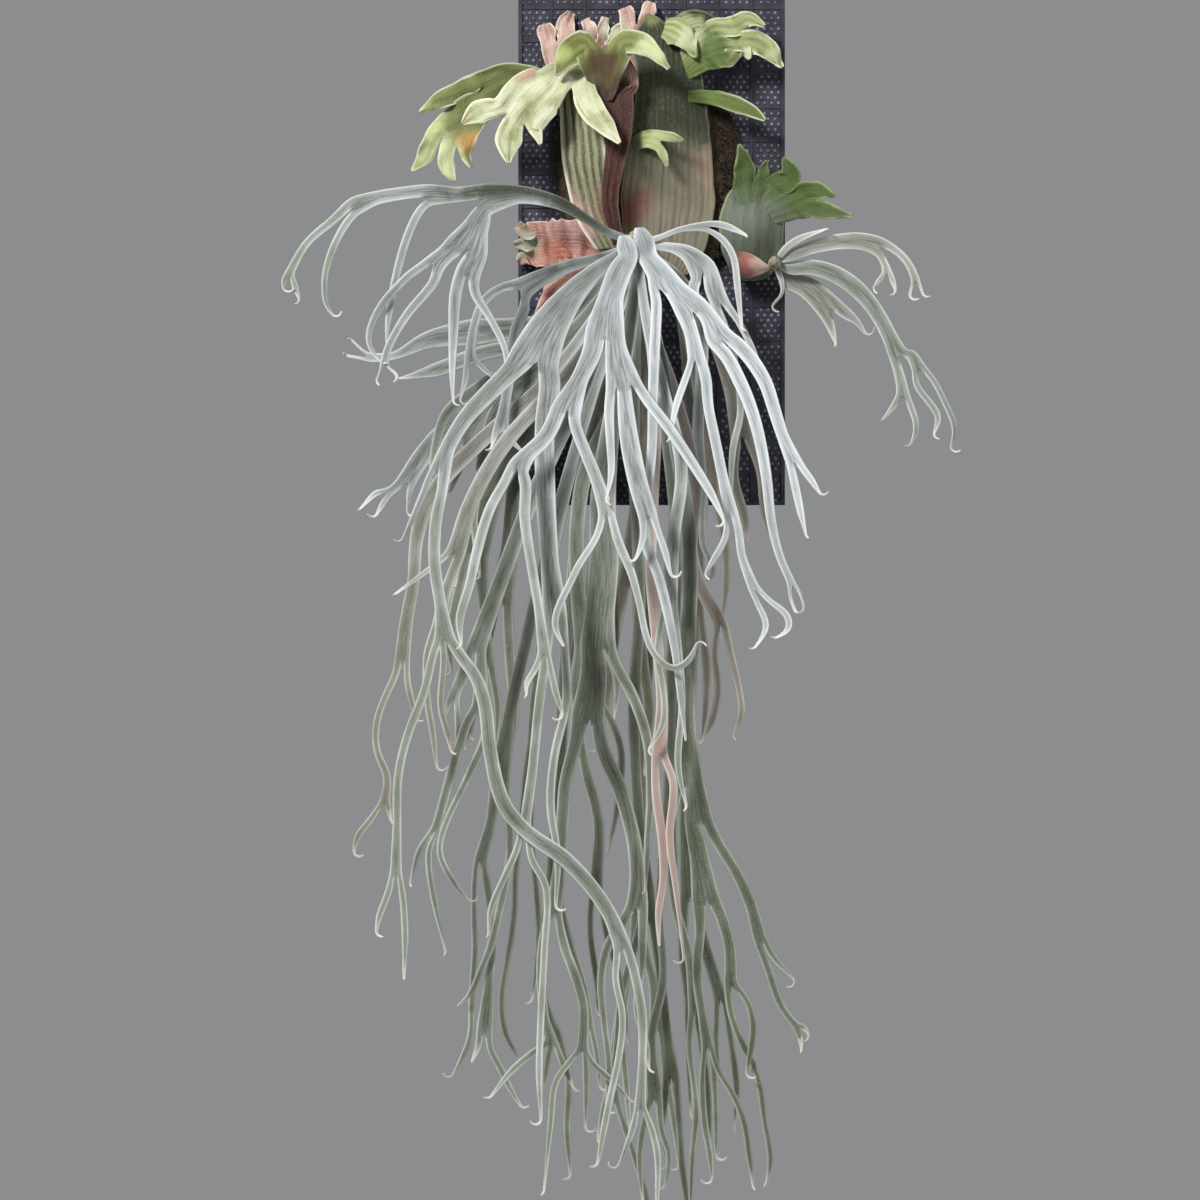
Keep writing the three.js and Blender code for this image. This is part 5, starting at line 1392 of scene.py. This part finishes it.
     [[340, 227, 9], [313, 251, 8], [297, 279, 9],
     [[291, 288], [290, 294]],
     [[302, 294], [306, 305]]],
     [[343, 246, 8], [331, 282, 7], [332, 312, 6], [338, 321]]]],
     [[478, 233, 26], [470, 252, 44],
     [[448, 260, 18], [438, 270, 22],
     [[428, 270, 9], [410, 284, 9], [384, 314, 8], [373, 344, 7], [379, 360, 6], [386, 367]],
     [[437, 288, 10], [411, 320, 9], [393, 352, 8], [389, 368, 9],
     [[385, 377, 3], [382, 384]],
     [[393, 373, 3], [400, 378]]]],
     [[471, 276, 26],
     [[458, 300, 13], [456, 340, 10], [455, 376, 7], [456, 405]],
     [[477, 298, 11], [491, 321, 8], [507, 354, 7], [508, 382, 6], [500, 401]]]]]),
    ("frond_left_sweep", 14, 0.4, 0,
     [[613, 258, 11], [600, 268, 15], [572, 298, 26], [548, 334, 40], [536, 362, 50],
     [[512, 376, 20], [489, 399, 18], [467, 424, 16], [451, 452, 15], [446, 468, 20],
     [[433, 481, 7], [425, 503, 8], [417, 522], [408, 541]],
     [[446, 494, 11], [440, 525, 12], [439, 565, 12], [445, 605, 12], [449, 636, 20],
     [[438, 652, 9], [429, 690, 9], [413, 732, 9], [404, 772, 9], [403, 820, 9], [402, 862, 12],
     [[394, 886], [386, 906], [383, 921]],
     [[409, 890], [411, 926], [410, 966]]],
     [[465, 655, 12], [480, 676, 13], [489, 706, 14], [493, 745, 14], [506, 797, 15], [530, 826, 15],
     [562, 848, 16], [588, 874, 15], [610, 906, 15], [621, 934, 18],
     [[615, 968], [622, 1004], [618, 1045], [610, 1082], [604, 1112], [598, 1146]],
     [[634, 964, 10], [641, 1004, 10], [641, 1050, 9], [639, 1090, 12],
     [[632, 1112], [618, 1149]],
     [[650, 1112], [656, 1140], [655, 1192]]]]]],
     [[551, 388, 22, -6], [546, 430, 20], [547, 500, 20], [551, 560, 18], [556, 610, 24],
     [[548, 650, 10], [541, 700, 10], [535, 760, 10], [528, 812, 11],
     [[520, 840], [506, 872], [494, 900], [492, 924]],
     [[533, 850], [548, 880], [546, 940], [543, 1000], [541, 1060], [543, 1105]]],
     [[566, 652, 9], [567, 700, 9], [556, 750, 9], [552, 800, 9], [559, 850], [557, 897]]]]),
    ("frond_front_right", 15, 0.0, 0,
     [[648, 258, 20], [658, 272, 25], [664, 286, 34],
     [[656, 305, 12], [654, 350, 12], [652, 400, 11], [651, 450, 11], [646, 500, 11], [645, 545, 12],
     [656, 574, 11], [664, 604, 11], [673, 650, 9], [679, 700, 8], [683, 734]],
     [[675, 292, 22], [690, 312, 34],
     [[690, 336, 14], [695, 362, 18],
     [[685, 380, 8], [675, 408], [668, 442]],
     [[704, 382, 12], [706, 410, 11], [713, 446, 11], [720, 482, 11], [727, 514, 15],
     [[722, 540], [712, 558], [703, 573]],
     [[735, 534, 9], [738, 558, 9], [749, 588, 12],
     [[754, 606, 6], [762, 626], [751, 645]],
     [[767, 603, 6], [781, 614], [783, 628], [772, 636]]]]],
     [[708, 322, 18], [717, 342, 28],
     [[724, 360, 14], [736, 384, 14], [746, 408, 13], [755, 440, 12], [762, 480, 11], [766, 520, 10],
     [774, 556, 9], [786, 584, 9],
     [[795, 594, 4], [798, 607]],
     [[784, 598, 4], [789, 610]]],
     [[732, 346, 15], [748, 364, 15], [762, 388, 14], [770, 414, 13], [778, 440, 12], [788, 464, 16],
     [[790, 490, 9], [795, 515, 8], [800, 537]],
     [[800, 476], [807, 485], [813, 496]]]]]]),
    ("frond_front_left", 16, 0.05, 0,
     [[629, 257, 20], [621, 270, 24], [611, 300, 25], [605, 336, 40],
     [[593, 354, 20], [580, 384, 17], [568, 412, 30],
     [[548, 440, 16], [530, 458, 16], [521, 470, 22],
     [[508, 484, 10], [493, 512, 11], [482, 548, 11], [474, 585, 10], [464, 620, 9], [466, 642]],
     [[528, 488, 12], [527, 520, 11], [533, 562, 10], [541, 610, 10], [546, 650, 13],
     [[536, 670], [528, 680], [529, 690]],
     [[554, 675], [558, 692], [564, 710]]]],
     [[576, 430, 12, -5], [586, 456, 12], [598, 486, 13], [606, 514, 16],
     [[596, 540], [580, 565], [569, 588], [560, 606], [556, 625], [564, 643]],
     [[618, 544, 10], [630, 572, 9], [638, 602], [645, 636], [655, 656], [672, 667], [688, 656],
     [693, 643]]]],
     [[616, 354, 22], [623, 388, 36],
     [[609, 412, 11, 4], [610, 444, 9], [611, 476], [606, 502]],
     [[626, 422, 18], [630, 452, 20], [638, 490, 20], [646, 516, 20],
     [[642, 540], [635, 560]],
     [[656, 532], [664, 556], [668, 575]]],
     [[646, 404, 12], [667, 432, 12], [688, 464, 11], [708, 497, 9], [720, 522]]]]),
]

PUP_FRONDS = [
    ("pup_frond_wedge", 0, 0.4, 0.1,
     [[788, 272, 18], [812, 282, 24], [833, 302, 28],
     [[850, 308, 14], [862, 317], [870, 329]],
     [[834, 318, 12], [840, 338]]]),
    ("pup_frond_hook", 1, 0, 0,
     [[786, 278, 6], [786, 288, 5], [776, 299]]),
    ("pup_frond_short", 4, 0.1, 0.3,
     [[788, 243, 8], [804, 233, 8], [828, 225]]),
    ("pup_frond_long", 2, 0.35, 0,
     [[792, 263, 14], [816, 262, 16], [840, 270, 18], [860, 284, 18], [878, 305, 16], [893, 332, 16],
     [902, 352, 20],
     [[904, 374, 11], [907, 390, 13],
     [[899, 402], [887, 417]],
     [[914, 402], [920, 418], [921, 430], [915, 442]]],
     [[914, 350, 12], [922, 364, 15],
     [[920, 382], [936, 403], [943, 416], [938, 431]],
     [[938, 378], [950, 402], [958, 420], [960, 432], [955, 444]]]]),
    ("pup_frond_upper", 3, 0.3, 0.1,
     [[794, 250, 12], [816, 242, 14], [842, 237, 16], [866, 237, 18], [882, 242, 20],
     [[887, 256, 8], [891, 268, 9],
     [[883, 276], [878, 282]],
     [[896, 276], [899, 286]]],
     [[900, 247, 8], [912, 260, 8], [919, 276, 9],
     [[915, 284, 3], [913, 291]],
     [[924, 284, 3], [926, 291]]]]),
]

# The two front fronds start behind the crown's tip and bend over it: where each starts, and its shoulder.
OVER_CROWN = {
    "frond_front_left": ((623, 235), [[624, 239, 15], [627, 248, 22]]),
    "frond_front_right": ((639, 227), [[640, 231, 15], [644, 242, 23]]),
}
SHOULDER = {"top": 96, "fall": 0.02, "blend": 16, "width": 8}
ROOTED = 0.75  # a frond starts this far out in its crown, as a share of the crown's radius


def over_crown(crown, order):
    """A front frond's depth: a brow over the crown's tip, blended into the usual arch."""
    arch = arch_from(crown, order)

    def depth(x, z):
        away = math.hypot(x - crown.at.x, z - crown.at.y)
        brow = SHOULDER["top"] + crown.stack * order - SHOULDER["fall"] * away * away
        hang = arch(x, z)
        return (hang + brow + math.sqrt((hang - brow) ** 2 + SHOULDER["blend"])) / 2
    return depth


def add_frond(crown, material, slot, name, order, tone, blush, branch):
    """A hanging frond, grown out of its crown over its own arch."""
    heading = (on_board(*branch[0][:2]) - crown.at).normalized()
    root = crown.at + heading * (crown.radius * ROOTED)
    width = crown.stalk
    rule = arch_from(crown, order)
    if name in OVER_CROWN:
        top, shoulder = OVER_CROWN[name]
        root, heading, width = on_board(*top), Vector((0, -1)), SHOULDER["width"]
        rule = over_crown(crown, order)
        branch = shoulder + branch
    blade = Blade(rule, FROND_STEP, True, cup=0.17, round_stalk=0.4)
    row = blade.first_row(root, heading, width, 2 * tips_of(branch))
    blade.grow(branch, Start(row, root, heading, width, tone=tone, blush=blush))
    finish_piece(name + "_blade", blade.mesh, material, [name], BLADE)


# ---- The whole plant ----
paint_node("mount_board", board_paint())
paint_node("net_panel", net_paint("net_plastic", rgb(16, 14, 26), rgb(70, 70, 88), 0.5))
net_knots()
moss_mound()
rhizome("crown_rhizome", CROWN, 520, 5)
rhizome("pup_rhizome", PUP_CROWN, 220, 4)
pup_bud()
old_shields()
left_shields()
right_shield()
pup_shield()
for frond in CROWN_FRONDS:
    add_frond(CROWN, FROND, "frond", *frond)
for frond in PUP_FRONDS:
    add_frond(PUP_CROWN, YOUNG_FROND, "young_frond", *frond)


# ---- Floor, light and camera, in metres ----
FRAME_WIDTH = 1.2  # the photograph is this wide at the plant
VIEW_CENTRE = Vector((-0.053, -0.15, -0.370))
DISTANCE = 4.85  # from the camera to that centre
SENSOR = 36
FLOOR = {"z": -1.16, "radius": 0.95, "sides": 96}
LIGHTS = [  # name, place, size, power
    ("key_light", (-1.9, -2.8, 2.0), 1.0, 190),
    ("fill_light", (2.6, -2.8, 0.4), 2.0, 34),
    ("rim_light", (0.4, 2.0, 1.8), 1.4, 40),
]
BACKDROP, BACKDROP_STRENGTH = rgb(228, 229, 231), 0.34


def aimed(thing, place):
    """Something that is turned to the middle of the view from a place."""
    thing.location = place
    thing.rotation_euler = (VIEW_CENTRE - place).to_track_quat("-Z", "Y").to_euler()
    bpy.context.scene.collection.objects.link(thing)
    return thing


def soft_light(name, place, size, power):
    lamp = bpy.data.lights.new(name, "AREA")
    lamp.shape = "DISK"
    lamp.size = size
    lamp.energy = power
    aimed(bpy.data.objects.new(name, lamp), Vector(place))


def pale_floor():
    mesh = bmesh.new()
    level = Matrix.Translation((0, 0, FLOOR["z"]))
    bmesh.ops.create_circle(mesh, cap_ends=True, segments=FLOOR["sides"], radius=FLOOR["radius"], matrix=level)
    data = bpy.data.meshes.new("floor")
    mesh.to_mesh(data)
    mesh.free()
    floor = bpy.data.objects.new("floor", data)
    bpy.context.scene.collection.objects.link(floor)
    paint = Paint("pale_floor", roughness=0.8)
    colour = paint.blend(rgb(196, 196, 194), rgb(206, 206, 204), paint.noise(6))
    data.materials.append(paint.finish(base_color=colour))


pale_floor()
for light in LIGHTS:
    soft_light(*light)

world = bpy.context.scene.world or bpy.data.worlds.new("studio")
bpy.context.scene.world = world
world.use_nodes = True
backdrop = world.node_tree.nodes["Background"].inputs
backdrop["Color"].default_value = BACKDROP
backdrop["Strength"].default_value = BACKDROP_STRENGTH
bpy.context.scene.view_settings.view_transform = "Standard"

lens = bpy.data.cameras.new("camera")
lens.sensor_width = SENSOR
lens.lens = SENSOR * DISTANCE / FRAME_WIDTH
camera = aimed(bpy.data.objects.new("camera", lens), VIEW_CENTRE + Vector((0, -DISTANCE, 0)))
bpy.context.scene.camera = camera
